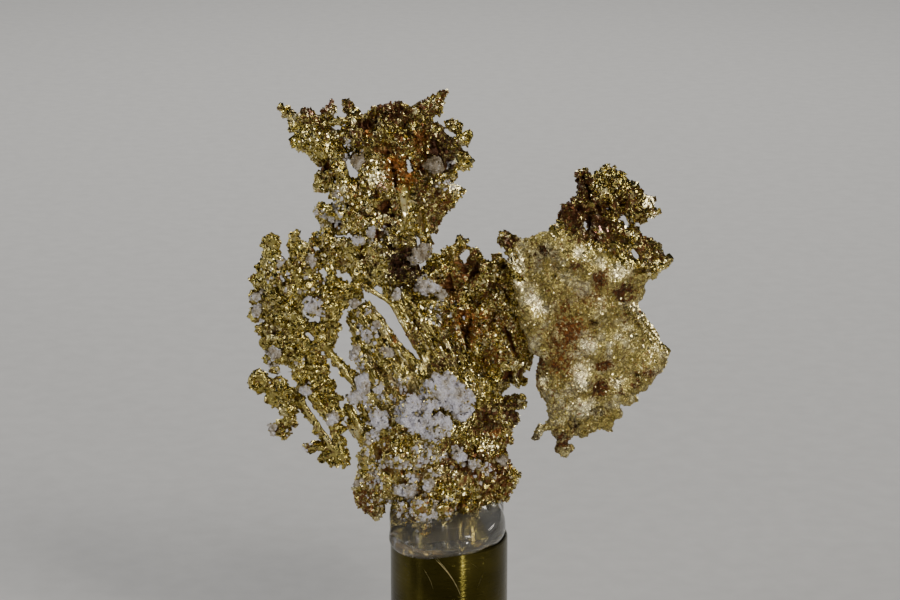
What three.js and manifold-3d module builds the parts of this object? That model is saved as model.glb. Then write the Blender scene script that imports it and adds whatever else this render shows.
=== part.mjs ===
// A native gold specimen on its display post: one branching growth of leaf gold, split at its main
// forks, with the white quartz that it grew in, a gob of clear putty, and a short brass post.
// Millimetres, +Z up. The origin is the centre of the post's foot, and -Y is the specimen's front.
import * as THREE from "three";
import { mergeVertices } from "three/addons/utils/BufferGeometryUtils.js";
import Module from "manifold-3d";

const wasm = await Module();
wasm.setup();

// ---- Driving dimensions --------------------------------------------------------------------------

const POST_DIAMETER = 12;
const POST_HEIGHT = 18;
const POST_TOP_ROUND = 0.7; // radius of the rolled edge at the top
const POST_FOOT_CHAMFER = 0.4;
const POST_SIDES = 40;
const POST_ROUND_STEPS = 4; // flats round the rolled edge

const GAP = 0.3; // between touching pieces
const GRAIN_GAP = 0.42; // below a quartz grain's flat back, because the leaf under it is curved
const SMALL_GRAIN = 0.75; // a grain with a smaller half width or height has fewer facets
const GRAIN_RISE = 0.3; // how far the flattest grain stands up from its leaf
const GRAIN_ROUNDNESS = 0.75; // what a grain gains on that for each millimetre of half size
const GRAIN_REACH = 0.4; // how far each side of a grain its leaf's slope is taken
const LEAN = 0.26; // the leaves' side walls drop this much for each millimetre towards the back
const ROOT_CUT = 0.5; // the gold is flat here, this far above the post's top
const SHEET_STEP = 2.3; // grid spacing that the leaves' curved faces are built on
const PRISM_DEPTH = 30; // deeper than any leaf
const BLOCK = 200; // larger than the specimen
const BOW = 1e-5; // bow of an outline for each square millimetre
const ROD_SIDES = 8;

const PUTTY_HEIGHT = 3.1;
const PUTTY_RADIUS = 5.75;
const PUTTY_BULGE = 0.75; // how much wider the putty is at the front left
const PUTTY_DROOP = 1.5; // how far the putty hangs over the front of the post
const PUTTY_LEFT = 0.35; // how far the putty sits left of the post's centre
const PUTTY_FRONT = 1.4 * Math.PI; // direction of the bulge and the droop, from +X towards +Y
const PUTTY_SPREAD = 0.8; // half angle of the bulge and the droop
const PUTTY_SIDES = 28;

// ---- Small helpers -------------------------------------------------------------------------------

// A smooth bump: 1 at the centre c and near 0 past twice the reach r.
const bell = (t, c, r) => Math.exp(-(((t - c) / r) ** 2));
const clamp01 = (t) => Math.min(1, Math.max(0, t));
const smooth = (t) => clamp01(t) ** 2 * (3 - 2 * clamp01(t));

// A closed geometry as a manifold-3d solid, for joining and cutting.
function solidOf(geometry) {
  const bare = geometry.clone();
  for (const name of Object.keys(bare.attributes)) {
    if (name !== "position") {
      bare.deleteAttribute(name);
    }
  }
  const merged = mergeVertices(bare, 1e-4);
  return new wasm.Manifold(
    new wasm.Mesh({
      numProp: 3,
      vertProperties: new Float32Array(merged.attributes.position.array),
      triVerts: new Uint32Array(merged.index.array),
    }),
  );
}

// A solid's largest body as a geometry, so that a cut leaves no loose crumbs.
function geometryOf(solid) {
  const bodies = solid.decompose().sort((a, b) => b.volume() - a.volume());
  const mesh = bodies[0].getMesh();
  const geometry = new THREE.BufferGeometry();
  geometry.setAttribute("position", new THREE.BufferAttribute(mesh.vertProperties, 3));
  geometry.setIndex(new THREE.BufferAttribute(mesh.triVerts, 1));
  return geometry;
}

const joined = (solids) => solids.reduce((sum, next) => sum.add(next));

// The space that a neighbour has to stay out of: the piece itself, moved by the gap along each axis.
function keepOut(geometry) {
  const moves = [];
  for (const side of [-GAP, GAP]) {
    moves.push([side, 0, 0], [0, side, 0], [0, 0, side]);
  }
  return joined(moves.map((move) => solidOf(geometry.clone().translate(...move))));
}

// Places are drawn on the specimen's face as x and height, and y is the depth behind that face.
const facePoint = (x, y, height) => new THREE.Vector3(x, y, height - LEAN * y);

// ---- Leaves of gold ------------------------------------------------------------------------------

// Distance from a place on the face to the nearest edge of an outline, and 0 outside it.
function insetOf(x, height, outline) {
  let inside = false;
  let nearest = Infinity;
  for (let i = 0, j = outline.length - 1; i < outline.length; j = i++) {
    const [ax, ah] = outline[j];
    const [bx, bh] = outline[i];
    if (ah > height !== bh > height && x < ax + ((bx - ax) * (height - ah)) / (bh - ah)) {
      inside = !inside;
    }
    const share = clamp01(
      ((x - ax) * (bx - ax) + (height - ah) * (bh - ah)) / ((bx - ax) ** 2 + (bh - ah) ** 2),
    );
    const dx = x - ax - share * (bx - ax);
    const dh = height - ah - share * (bh - ah);
    nearest = Math.min(nearest, Math.hypot(dx, dh));
  }
  return inside ? nearest : 0;
}

// A leaf's front and back faces: its middle sheet, less and plus a half thickness that thins to
// the edge over the taper.
function facesOf({ outline, middle, core, edge, taper }) {
  const half = (x, height) => {
    const inset = smooth(insetOf(x, height, outline) / taper);
    return edge + (core(x, height) - edge) * inset;
  };
  return {
    front: (x, height) => middle(x, height) - half(x, height),
    back: (x, height) => middle(x, height) + half(x, height),
  };
}

// The closed block between two curved faces, over the outline's whole rectangle.
function slabGeometry(outline, { front, back }) {
  const box = new THREE.Box2().setFromPoints(outline.map(([x, h]) => new THREE.Vector2(x, h)));
  box.expandByScalar(SHEET_STEP);
  const size = box.getSize(new THREE.Vector2());
  const columns = Math.ceil(size.x / SHEET_STEP);
  const rows = Math.ceil(size.y / SHEET_STEP);
  const places = [];
  const index = (face, column, row) => (face * (rows + 1) + row) * (columns + 1) + column;
  for (const face of [front, back]) {
    for (let row = 0; row <= rows; row++) {
      for (let column = 0; column <= columns; column++) {
        const x = box.min.x + (size.x * column) / columns;
        const height = box.min.y + (size.y * row) / rows;
        places.push(facePoint(x, face(x, height), height));
      }
    }
  }
  const triangles = [];
  const quad = (a, b, c, d) => triangles.push(a, b, c, a, c, d);
  for (let row = 0; row < rows; row++) {
    for (let column = 0; column < columns; column++) {
      const corners = (face) => [
        index(face, column, row),
        index(face, column + 1, row),
        index(face, column + 1, row + 1),
        index(face, column, row + 1),
      ];
      quad(...corners(0));
      quad(...corners(1).reverse());
    }
  }
  for (let column = 0; column < columns; column++) {
    const next = column + 1;
    quad(index(1, column, 0), index(1, next, 0), index(0, next, 0), index(0, column, 0));
    quad(index(0, column, rows), index(0, next, rows), index(1, next, rows), index(1, column, rows));
  }
  for (let row = 0; row < rows; row++) {
    const next = row + 1;
    quad(index(0, 0, row), index(0, 0, next), index(1, 0, next), index(1, 0, row));
    quad(index(1, columns, row), index(1, columns, next), index(0, columns, next), index(0, columns, row));
  }
  return new THREE.BufferGeometry().setFromPoints(places).setIndex(triangles);
}

// A bow of a few hundredths of a millimetre, so that no three points are exactly in line: a cap's
// triangles would skip the middle one, and the prism wouldn't close.
const bowed = ([x, height]) => new THREE.Vector2(x + BOW * height ** 2, height + BOW * x ** 2);

// An outline pushed straight through the specimen and sheared by the lean.
function prismSolid(outline) {
  const shape = new THREE.Shape(outline.map(bowed));
  const prism = new THREE.ExtrudeGeometry(shape, { depth: PRISM_DEPTH, bevelEnabled: false });
  prism.translate(0, 0, -PRISM_DEPTH / 2).rotateX(Math.PI / 2);
  const place = prism.attributes.position;
  for (let i = 0; i < place.count; i++) {
    place.setZ(i, place.getZ(i) - LEAN * place.getY(i));
  }
  return solidOf(prism);
}

// A straight crystal rod between two places on the face, lying on the leaf's middle sheet.
function rodGeometry({ from, to, radius }, middle) {
  const [start, end] = [from, to].map(([x, height]) => facePoint(x, middle(x, height), height));
  const rod = new THREE.CylinderGeometry(radius, radius, start.distanceTo(end), ROD_SIDES);
  const along = new THREE.Vector3().subVectors(end, start).normalize();
  const up = new THREE.Vector3(0, 1, 0);
  rod.applyQuaternion(new THREE.Quaternion().setFromUnitVectors(up, along));
  const middlePoint = start.add(end).multiplyScalar(0.5);
  return rod.translate(middlePoint.x, middlePoint.y, middlePoint.z);
}

// A rounded crystal bead at the end of a finger.
function beadGeometry({ at: [x, height], radii }, middle) {
  const centre = facePoint(x, middle(x, height), height);
  return new THREE.IcosahedronGeometry(1, 1)
    .scale(...radii)
    .translate(centre.x, centre.y, centre.z);
}

// Everything above the flat cut at the root.
function aboveRoot() {
  const block = new THREE.BoxGeometry(BLOCK, BLOCK, BLOCK);
  return solidOf(block.translate(0, 0, ROOT_CUT + BLOCK / 2));
}

function leafGeometry(leaf) {
  let solid = prismSolid(leaf.outline).intersect(solidOf(slabGeometry(leaf.outline, facesOf(leaf))));
  for (const hole of leaf.holes ?? []) {
    solid = solid.subtract(prismSolid(hole));
  }
  const extras = [
    ...(leaf.rods ?? []).map((rod) => rodGeometry(rod, leaf.middle)),
    ...(leaf.beads ?? []).map((bead) => beadGeometry(bead, leaf.middle)),
  ];
  solid = joined([solid, ...extras.map(solidOf)]);
  return geometryOf(solid.intersect(aboveRoot()));
}

// Outlines are drawn on the specimen's face, as [x, height above the post's top].

// The thick body that stands in the putty, with the two ribs that climb to its upper left.
const trunk = {
  name: "gold_trunk",
  outline: [
    [-9.7, 4.0], [-9.4, 5.6], [-9.1, 6.8], [-9.1, 8.0], [-8.6, 9.0], [-8.5, 10.4], [-8.6, 11.4],
    [-8.9, 12.6], [-9.2, 13.4], [-9.8, 14.2], [-9.7, 15.1], [-8.9, 15.7], [-8.9, 16.5],
    [-9.2, 17.6], [-9.5, 19.0], [-9.5, 20.2], [-9.7, 21.2], [-10.1, 22.2], [-10.1, 22.7],
    [-9.6, 23.4], [-8.5, 23.9], [-7.9, 23.7], [-7.2, 23.2], [-6.5, 22.3], [-4.7, 19.9],
    [-3.8, 18.9], [-3.1, 18.1], [-2.8, 18.3], [-3.7, 19.5], [-4.2, 20.4],
    [-4.5, 21.6], [-5.0, 22.5], [-5.8, 23.1], [-6.1, 24.0], [-6.2, 24.7], [-5.4, 24.8],
    [-4.6, 23.7], [-3.3, 22.0], [-2.3, 20.3], [-0.6, 18.8], [1.2, 17.4], [2.8, 15.8],
    [4.3, 14.5], [4.6, 13.8], [5.4, 13.8], [6.6, 14.2], [7.5, 14.3], [7.9, 13.3], [6.6, 12.9],
    [6.6, 12.2], [7.5, 11.9], [6.5, 11.2], [6.3, 10.3], [6.5, 9.5], [5.5, 8.7], [6.0, 8.1],
    [6.1, 7.2], [6.5, 6.6], [7.0, 6.0], [6.8, 5.3], [6.4, 4.4], [5.9, 3.8], [6.1, 3.3],
    [5.4, 3.0], [4.4, 2.9], [3.6, 2.3], [3.2, 1.2], [1.6, 0.7], [0.1, 0.2], [-0.2, -0.8],
    [-1.6, -1.2], [-2.8, -1.2], [-4.0, -0.7], [-5.0, -0.2], [-5.5, 0.7], [-5.8, 2.7],
    [-6.3, 3.4], [-6.8, 1.8], [-7.1, 1.1], [-7.7, 1.2], [-8.1, 1.8], [-9.2, 2.6],
  ],
  rods: [
    { from: [-10.3, 13.1], to: [-8.3, 9.9], radius: 0.38 },
    { from: [-10.1, 11.2], to: [-8.1, 8.3], radius: 0.32 },
  ],
  // Its foot stands forwards, and is thick.
  middle: (x, h) => -0.2 - 0.5 * bell(x, -1, 8) * bell(h, 6, 8),
  core: (x, h) => 1.35 + 2.2 * bell(x, -1, 7.5) * bell(h, 5, 8.5),
  edge: 0.9,
  taper: 3,
};

// The mitten at the left, with its fingers, a slot beside its stem and the bridge to the ribs.
const leftLeaf = {
  name: "gold_left_leaf",
  outline: [
    [-18.3, 30.7], [-17.6, 31.0], [-17.0, 30.5], [-17.1, 29.7], [-16.8, 29.0], [-16.6, 28.2],
    [-16.2, 27.9], [-15.9, 29.0], [-15.6, 29.6], [-15.8, 30.5], [-15.7, 31.2], [-15.2, 31.2],
    [-14.9, 30.5], [-14.1, 30.1], [-13.6, 30.4], [-13.5, 29.2], [-13.5, 28.0], [-12.9, 27.2],
    [-12.6, 26.6], [-11.9, 26.5], [-11.4, 26.8], [-10.8, 26.5], [-10.0, 26.2], [-9.4, 26.1],
    [-8.9, 25.6], [-8.5, 25.0], [-8.4, 24.4], [-9.6, 23.9], [-10.5, 23.2], [-11.2, 23.2],
    [-10.9, 22.5], [-10.9, 21.4], [-11.3, 20.4], [-11.5, 19.4], [-12.4, 19.1], [-12.9, 18.7],
    [-12.4, 18.0], [-12.1, 17.2], [-12.2, 16.4], [-12.3, 15.8], [-11.4, 15.4], [-11.3, 15.0],
    [-11.9, 14.7], [-11.2, 14.4], [-11.1, 13.9], [-10.9, 13.0], [-10.8, 12.1], [-10.6, 11.0],
    [-10.4, 9.8], [-10.3, 8.4], [-10.2, 7.3], [-10.6, 6.7], [-11.4, 6.9], [-12.0, 7.3],
    [-13.1, 7.3], [-13.2, 7.8], [-12.4, 8.1], [-12.6, 8.5], [-14.3, 8.4], [-14.5, 8.9],
    [-14.2, 9.3], [-12.6, 9.3], [-12.0, 9.6], [-13.4, 12.4], [-14.2, 13.7],
    [-15.0, 13.3], [-15.5, 12.4], [-15.3, 11.1], [-15.7, 10.8], [-16.0, 11.1], [-16.2, 10.4],
    [-16.7, 9.7], [-17.3, 9.9], [-17.9, 10.5], [-17.4, 11.4], [-16.7, 12.1], [-17.2, 12.8],
    [-18.2, 13.3], [-18.8, 13.8], [-18.7, 15.1], [-18.3, 15.9], [-17.3, 16.1], [-16.5, 15.7],
    [-15.7, 15.2], [-15.3, 15.7], [-15.9, 16.9], [-17.3, 16.9], [-18.3, 17.3], [-18.6, 18.3],
    [-19.1, 19.7], [-18.6, 20.4], [-18.9, 21.1], [-18.7, 22.1], [-19.4, 22.5], [-19.6, 23.3],
    [-19.4, 24.1], [-19.5, 25.0], [-19.4, 26.8], [-19.0, 28.0], [-18.8, 29.2], [-18.7, 30.2],
  ],
  holes: [
    [[-14.3, 22.6], [-13.6, 22.4], [-13.0, 22.0], [-13.6, 21.8], [-14.3, 21.8]],
  ],
  rods: [
    { from: [-14.9, 13.4], to: [-11.7, 8.3], radius: 0.36 },
    { from: [-12.2, 19.1], to: [-9.6, 16.1], radius: 0.38 },
  ],
  beads: [{ at: [-19.3, 15.7], radii: [0.85, 0.6, 1.1] }],
  // Its left side curls back, and its stem comes forwards.
  middle: (x, h) => -0.5 + 0.03 * (x + 10) ** 2 - 0.1 * Math.max(0, 17 - h),
  core: () => 1.25,
  edge: 0.55,
  taper: 2.4,
};

// The tall leaf above the left ribs, with a ragged crown. Its right-hand side turns back.
const upperLeaf = {
  name: "gold_upper_leaf",
  outline: [
    [-13.2, 30.7], [-13.1, 29.3], [-13.0, 28.2], [-12.3, 27.7], [-11.4, 27.4], [-10.4, 27.1],
    [-9.4, 27.0], [-8.9, 26.4], [-8.3, 25.8], [-7.3, 25.5], [-6.2, 25.3], [-5.1, 25.4],
    [-3.6, 26.2], [-2.9, 27.0], [-3.0, 27.8], [-2.5, 28.4], [-2.1, 29.4], [-1.6, 30.2],
    [-1.5, 31.1], [-1.1, 32.2], [-0.8, 33.2], [-0.1, 33.8], [0.5, 33.9], [0.6, 34.7],
    [1.3, 35.4], [1.0, 35.8], [0.1, 36.1], [0.9, 36.6], [0.6, 37.2], [1.0, 37.8], [1.9, 37.6],
    [2.2, 38.0], [1.7, 38.8], [1.5, 39.4], [0.9, 39.8], [0.9, 40.3], [1.8, 40.5], [2.2, 41.0],
    [1.0, 41.3], [1.2, 42.4], [0.0, 42.5], [-0.9, 42.0], [-1.8, 42.2], [-1.8, 42.9],
    [-1.0, 43.4], [-0.8, 44.2], [-0.3, 45.2], [-0.5, 45.5], [-1.5, 44.9], [-2.5, 44.1],
    [-3.0, 43.4], [-3.6, 42.9], [-4.3, 43.3], [-5.0, 43.9], [-6.0, 43.9], [-7.0, 43.6],
    [-8.2, 43.2], [-9.0, 43.1], [-9.5, 43.5], [-10.0, 43.7], [-9.8, 42.8], [-10.0, 42.0],
    [-10.6, 41.9], [-11.5, 42.2], [-11.6, 43.0], [-11.3, 43.7], [-11.7, 43.8], [-12.2, 43.3],
    [-12.4, 42.7], [-13.4, 42.8], [-13.7, 43.6], [-14.3, 43.7], [-15.0, 43.1], [-15.4, 43.7],
    [-16.0, 43.9], [-16.3, 43.4], [-16.2, 42.8], [-15.6, 42.2], [-15.8, 41.6], [-15.0, 41.1],
    [-14.9, 40.5], [-15.0, 39.8], [-14.2, 39.4], [-13.4, 38.8], [-13.2, 37.6], [-13.2, 35.7],
    [-12.8, 35.3], [-12.1, 35.6], [-11.6, 35.3], [-11.7, 34.8], [-10.6, 34.4], [-11.6, 33.9],
    [-13.2, 33.8], [-13.2, 33.2], [-13.0, 32.6], [-12.4, 32.3], [-12.2, 31.6], [-12.7, 31.0],
  ],
  holes: [
    [[-9.9, 37.2], [-9.3, 37.5], [-8.9, 37.1], [-9.2, 36.5], [-9.8, 36.7]],
    [[-10.0, 39.5], [-9.3, 39.7], [-8.5, 39.4], [-9.2, 38.9], [-9.9, 38.7]],
  ],
  // It bellies forwards in the middle, and its crown and both sides turn back.
  middle: (x, h) =>
    0.3 -
    1.3 * bell(x, -8, 6) * bell(h, 34, 7) +
    0.1 * Math.max(0, x + 3.5) ** 2 +
    0.02 * Math.max(0, h - 38) ** 2 +
    0.05 * Math.max(0, -11 - x) ** 2,
  core: () => 1.45,
  edge: 0.6,
  taper: 2.6,
};

// The dark sponge between the ribs and the right-hand leaf, set back from both.
const centreLeaf = {
  name: "gold_centre_leaf",
  outline: [
    [4.7, 15.1], [3.3, 16.2], [1.6, 17.8], [-0.2, 19.2], [-1.9, 20.7], [-2.9, 22.3],
    [-4.2, 23.9], [-4.9, 24.9], [-3.2, 25.7], [-2.5, 26.6], [-2.4, 27.4], [-2.0, 28.0],
    [-1.3, 28.9], [-1.2, 28.3], [-0.7, 28.3], [-0.5, 29.2], [0.1, 29.7], [0.6, 29.8],
    [0.8, 30.8], [1.2, 30.9], [1.6, 30.3], [1.3, 29.6], [0.9, 29.0], [1.6, 28.7], [2.4, 29.3],
    [3.0, 29.2], [3.4, 28.4], [4.1, 28.5], [4.1, 29.5], [4.5, 29.8], [5.2, 29.1], [5.9, 27.9],
    [6.5, 26.5], [6.8, 25.0], [6.9, 23.9], [6.8, 22.6], [7.4, 21.4], [7.9, 20.2], [8.0, 18.9],
    [8.5, 18.1], [8.1, 17.2], [7.8, 16.1], [7.6, 15.3], [6.6, 15.4], [5.6, 15.1],
  ],
  // It is hollow in the middle, and meets the ribs at its left.
  middle: (x, h) => 1.7 + 0.5 * bell(x, 3, 4) * bell(h, 24, 6) - 0.12 * Math.max(0, -x),
  core: () => 1.5,
  edge: 0.8,
  taper: 2.2,
};

// The broad sheet at the right. It turns back along a fold that falls to the right, under its crest.
const RIGHT_FOLD = { x: 9, height: 31.5, fall: 0.45, turn: 0.42 };
const rightLeaf = {
  name: "gold_right_leaf",
  outline: [
    [5.2, 31.0], [6.3, 30.9], [7.2, 30.5], [8.7, 31.0], [10.1, 31.5], [11.1, 32.9], [11.3, 34.0],
    [12.2, 34.4], [12.9, 35.1], [13.0, 36.6], [12.6, 37.4], [13.2, 37.8], [13.9, 37.5],
    [14.4, 36.9], [14.9, 37.1], [15.1, 38.0], [15.8, 38.0], [16.9, 37.6], [18.1, 36.8],
    [18.8, 35.9], [19.3, 35.1], [19.9, 35.3], [20.7, 34.8], [20.4, 34.0], [21.2, 33.4],
    [20.8, 33.1], [19.4, 32.4], [18.4, 32.3], [18.6, 31.8], [19.5, 31.8],
    [20.2, 31.6], [20.6, 31.2], [20.9, 30.3], [21.5, 29.1], [22.6, 28.1], [21.3, 27.4],
    [20.6, 26.7], [20.0, 26.4], [19.6, 25.6], [19.7, 24.9], [18.8, 23.8], [20.0, 22.1],
    [21.2, 20.6], [21.4, 19.8], [22.1, 19.4], [22.5, 19.0], [22.1, 18.2], [22.0, 17.4],
    [21.4, 16.6], [20.5, 15.7], [19.6, 14.9], [18.9, 14.4], [19.1, 13.7], [18.2, 13.4],
    [17.4, 13.4], [17.1, 12.6], [17.5, 11.9], [16.9, 11.8], [16.3, 11.2], [16.6, 10.5],
    [15.9, 10.5], [15.1, 10.9], [14.7, 10.3], [13.6, 9.8], [12.5, 9.9], [12.3, 9.4],
    [13.0, 8.7], [12.4, 8.1], [11.8, 7.6], [10.9, 8.2], [10.7, 8.7], [11.0, 9.6], [10.3, 10.2],
    [9.9, 11.0], [10.0, 12.3], [9.7, 13.6], [9.1, 14.4], [8.7, 15.3], [8.6, 16.3], [8.8, 17.2],
    [9.1, 18.2], [8.4, 18.9], [8.3, 20.3], [7.8, 21.5], [7.3, 22.6], [7.3, 23.9], [7.2, 25.1],
    [6.9, 26.7], [6.3, 28.1], [5.7, 29.3], [5.0, 30.2],
  ],
  holes: [
    [[16.8, 33.2], [17.5, 33.3], [17.6, 32.6], [16.9, 32.5]],
  ],
  rods: [{ from: [8.6, 9.7], to: [10.3, 11.8], radius: 0.25 }],
  middle: (x, h) => {
    const { x: foldX, height, fall, turn } = RIGHT_FOLD;
    const aboveFold = h - height + fall * (x - foldX);
    const dish = -1.3 * bell(x, 12, 5) * bell(h, 22, 8);
    return -1.1 + dish + 0.012 * (x - 8) ** 2 + turn * Math.max(0, aboveFold);
  },
  core: (x, h) => 0.8 + 0.3 * smooth((h - 29) / 4),
  edge: 0.45,
  taper: 2,
};

const leaves = { trunk, leftLeaf, upperLeaf, centreLeaf, rightLeaf };

// ---- Quartz --------------------------------------------------------------------------------------

// Each lump: its host leaf and its grains as [x, height, half width, half height].
const quartz = [
  { name: "quartz_main", host: "trunk", grains: [
    [-3.9, 12.3, 1.5, 1.7], [-2.1, 14.2, 1.0, 1.4], [-0.9, 15.6, 1.4, 1.2], [0.9, 14.2, 1.3, 1.3],
    [1.6, 13.0, 0.9, 1.3], [-1.4, 10.9, 1.5, 1.5], [0.8, 11.0, 0.7, 1.3], [-2.3, 12.3, 0.8, 1.0],
  ] },
  { name: "quartz_upper", host: "centreLeaf", grains: [
    [-2.8, 26.3, 0.7, 0.75], [-2.4, 25.3, 1.0, 0.7], [-1.3, 25.2, 0.75, 0.6], [-4.0, 24.8, 0.6, 0.55],
  ] },
  { name: "quartz_rib_head", host: "trunk", grains: [[-5.5, 25.0, 0.6, 0.7]] },
  { name: "quartz_tower_foot", host: "upperLeaf", grains: [
    [-3.5, 28.9, 0.9, 1.1], [-2.7, 29.5, 0.6, 0.6],
  ] },
  { name: "quartz_tower_back", host: "upperLeaf", grains: [[-1.7, 38.0, 0.9, 1.0]] },
  { name: "quartz_tower_window", host: "upperLeaf", grains: [[-8.7, 38.3, 0.4, 0.7]] },
  { name: "quartz_tower_left", host: "upperLeaf", grains: [[-10.9, 35.3, 0.7, 0.5]] },
  { name: "quartz_tower_step", host: "upperLeaf", grains: [[-11.8, 32.8, 0.7, 0.5]] },
  { name: "quartz_tower_seam", host: "upperLeaf", grains: [[-7.8, 31.3, 0.4, 0.6]] },
  { name: "quartz_tower_low", host: "upperLeaf", grains: [[-8.9, 30.4, 0.5, 0.4]] },
  { name: "quartz_mitten_heart", host: "leftLeaf", grains: [
    [-13.6, 23.7, 0.8, 0.8], [-12.6, 23.1, 0.7, 0.5],
  ] },
  { name: "quartz_mitten_bridge", host: "leftLeaf", grains: [[-9.3, 24.4, 0.5, 0.6]] },
  { name: "quartz_mitten_top", host: "leftLeaf", grains: [
    [-13.9, 28.3, 0.6, 0.6], [-13.1, 27.5, 0.4, 0.6],
  ] },
  { name: "quartz_mitten_finger", host: "leftLeaf", grains: [[-17.0, 28.0, 0.35, 0.8]] },
  { name: "quartz_mitten_edge_high", host: "leftLeaf", grains: [[-18.8, 24.6, 0.6, 0.6]] },
  { name: "quartz_mitten_edge_low", host: "leftLeaf", grains: [[-18.7, 23.4, 0.5, 0.4]] },
  { name: "quartz_mitten_palm", host: "leftLeaf", grains: [
    [-17.0, 18.9, 0.6, 0.7], [-16.3, 17.9, 0.5, 0.7],
  ] },
  { name: "quartz_mitten_thumb", host: "leftLeaf", grains: [[-17.5, 10.8, 0.5, 0.6]] },
  { name: "quartz_mitten_cuff", host: "leftLeaf", grains: [[-14.4, 14.9, 0.7, 0.4]] },
  { name: "quartz_mitten_stem", host: "leftLeaf", grains: [[-11.7, 11.8, 0.4, 0.5]] },
  { name: "quartz_rib_high", host: "trunk", grains: [[-8.2, 20.9, 0.6, 1.0]] },
  { name: "quartz_rib_ridge", host: "trunk", grains: [[-7.2, 21.9, 0.4, 0.8]] },
  { name: "quartz_rib_edge", host: "trunk", grains: [[-9.0, 18.9, 0.5, 1.0]] },
  { name: "quartz_rib_inner", host: "trunk", grains: [[-6.3, 18.8, 0.6, 0.5]] },
  { name: "quartz_rib_foot", host: "trunk", grains: [[-8.4, 15.4, 0.6, 0.9]] },
  { name: "quartz_flank", host: "trunk", grains: [[-9.3, 14.3, 0.6, 1.0]] },
  { name: "quartz_shoulder", host: "trunk", grains: [[-6.6, 14.9, 0.5, 0.8]] },
  { name: "quartz_left_patch", host: "trunk", grains: [[-6.8, 11.9, 0.8, 1.0]] },
  { name: "quartz_left_edge", host: "trunk", grains: [[-8.9, 5.4, 0.5, 1.1]] },
  { name: "quartz_mid_high", host: "trunk", grains: [[0.8, 8.3, 0.6, 0.5]] },
  { name: "quartz_mid_low", host: "trunk", grains: [[2.1, 7.6, 0.9, 0.6]] },
  { name: "quartz_right_patch", host: "trunk", grains: [[5.3, 7.6, 0.5, 0.5]] },
  { name: "quartz_low_high", host: "trunk", grains: [[-2.0, 5.4, 0.8, 0.5]] },
  { name: "quartz_low_middle", host: "trunk", grains: [[-3.7, 4.4, 0.5, 0.8]] },
  { name: "quartz_low_left", host: "trunk", grains: [[-5.1, 4.8, 0.5, 0.6]] },
  { name: "quartz_foot", host: "trunk", grains: [[-2.4, 2.5, 0.8, 0.9], [-1.3, 2.7, 0.6, 0.6]] },
];

// One grain: a faceted dome that stands on its host's front face, a gap away from it.
function grainSolid([x, height, halfWidth, halfHeight], front) {
  const dome = Math.min(halfWidth, halfHeight) > SMALL_GRAIN
    ? new THREE.IcosahedronGeometry(1, 1)
    : new THREE.DodecahedronGeometry(1);
  const place = dome.attributes.position;
  for (let i = 0; i < place.count; i++) {
    const outward = Math.max(0, -place.getY(i));
    const rise = GRAIN_RISE + GRAIN_ROUNDNESS * Math.min(halfWidth, halfHeight);
    place.setXYZ(i, place.getX(i) * halfWidth, -rise * outward, place.getZ(i) * halfHeight);
  }
  const at = (dx, dh) => facePoint(x + dx, front(x + dx, height + dh), height + dh);
  const across = at(GRAIN_REACH, 0).sub(at(-GRAIN_REACH, 0)).normalize();
  const upward = at(0, GRAIN_REACH).sub(at(0, -GRAIN_REACH)).normalize();
  const inward = new THREE.Vector3().crossVectors(upward, across).normalize();
  const foot = at(0, 0).addScaledVector(inward, -GRAIN_GAP);
  upward.crossVectors(across, inward);
  dome.applyMatrix4(new THREE.Matrix4().makeBasis(across, inward, upward).setPosition(foot));
  return solidOf(dome);
}

// ---- Putty ---------------------------------------------------------------------------------------

// 1 at the front left, where the gob bulges and sags over the post's edge, falling to 0 all round.
const puttyFront = (angle) => bell(angleFrom(angle, PUTTY_FRONT), 0, PUTTY_SPREAD);

// The smaller angle between two directions.
function angleFrom(a, b) {
  const turn = Math.abs(a - b) % (2 * Math.PI);
  return Math.min(turn, 2 * Math.PI - turn);
}

function puttyGeometry() {
  // Rings from the bottom to the top, as [share of the radius, share of the height].
  const rings = [
    [0.93, 0], [0.99, 0.12], [1.0, 0.35], [0.98, 0.6], [0.9, 0.84], [0.74, 0.97], [0.5, 1],
  ];
  const places = [];
  for (const [wide, high] of rings) {
    for (let i = 0; i < PUTTY_SIDES; i++) {
      const angle = (2 * Math.PI * i) / PUTTY_SIDES;
      const radius = (PUTTY_RADIUS + PUTTY_BULGE * puttyFront(angle)) * wide;
      const bottom = -PUTTY_DROOP * puttyFront(angle);
      const height = bottom + (PUTTY_HEIGHT - bottom) * high;
      const x = radius * Math.cos(angle) - PUTTY_LEFT;
      places.push(new THREE.Vector3(x, radius * Math.sin(angle), height));
    }
  }
  const bottomCentre = places.push(new THREE.Vector3(0, 0, -0.1)) - 1;
  const topCentre = places.push(new THREE.Vector3(0, 0, PUTTY_HEIGHT)) - 1;
  const triangles = [];
  for (let i = 0; i < PUTTY_SIDES; i++) {
    const next = (i + 1) % PUTTY_SIDES;
    for (let ring = 0; ring + 1 < rings.length; ring++) {
      const low = ring * PUTTY_SIDES;
      const high = low + PUTTY_SIDES;
      triangles.push(low + i, low + next, high + next, low + i, high + next, high + i);
    }
    const last = (rings.length - 1) * PUTTY_SIDES;
    triangles.push(bottomCentre, next, i, topCentre, last + i, last + next);
  }
  return new THREE.BufferGeometry().setFromPoints(places).setIndex(triangles);
}

// The space of the post below the putty, a gap wider all round.
function postSpace() {
  const radius = POST_DIAMETER / 2 + GAP;
  const post = new THREE.CylinderGeometry(radius, radius, POST_HEIGHT, POST_SIDES);
  return solidOf(post.rotateX(Math.PI / 2).translate(0, 0, -POST_HEIGHT / 2));
}

// ---- Post ----------------------------------------------------------------------------------------

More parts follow.
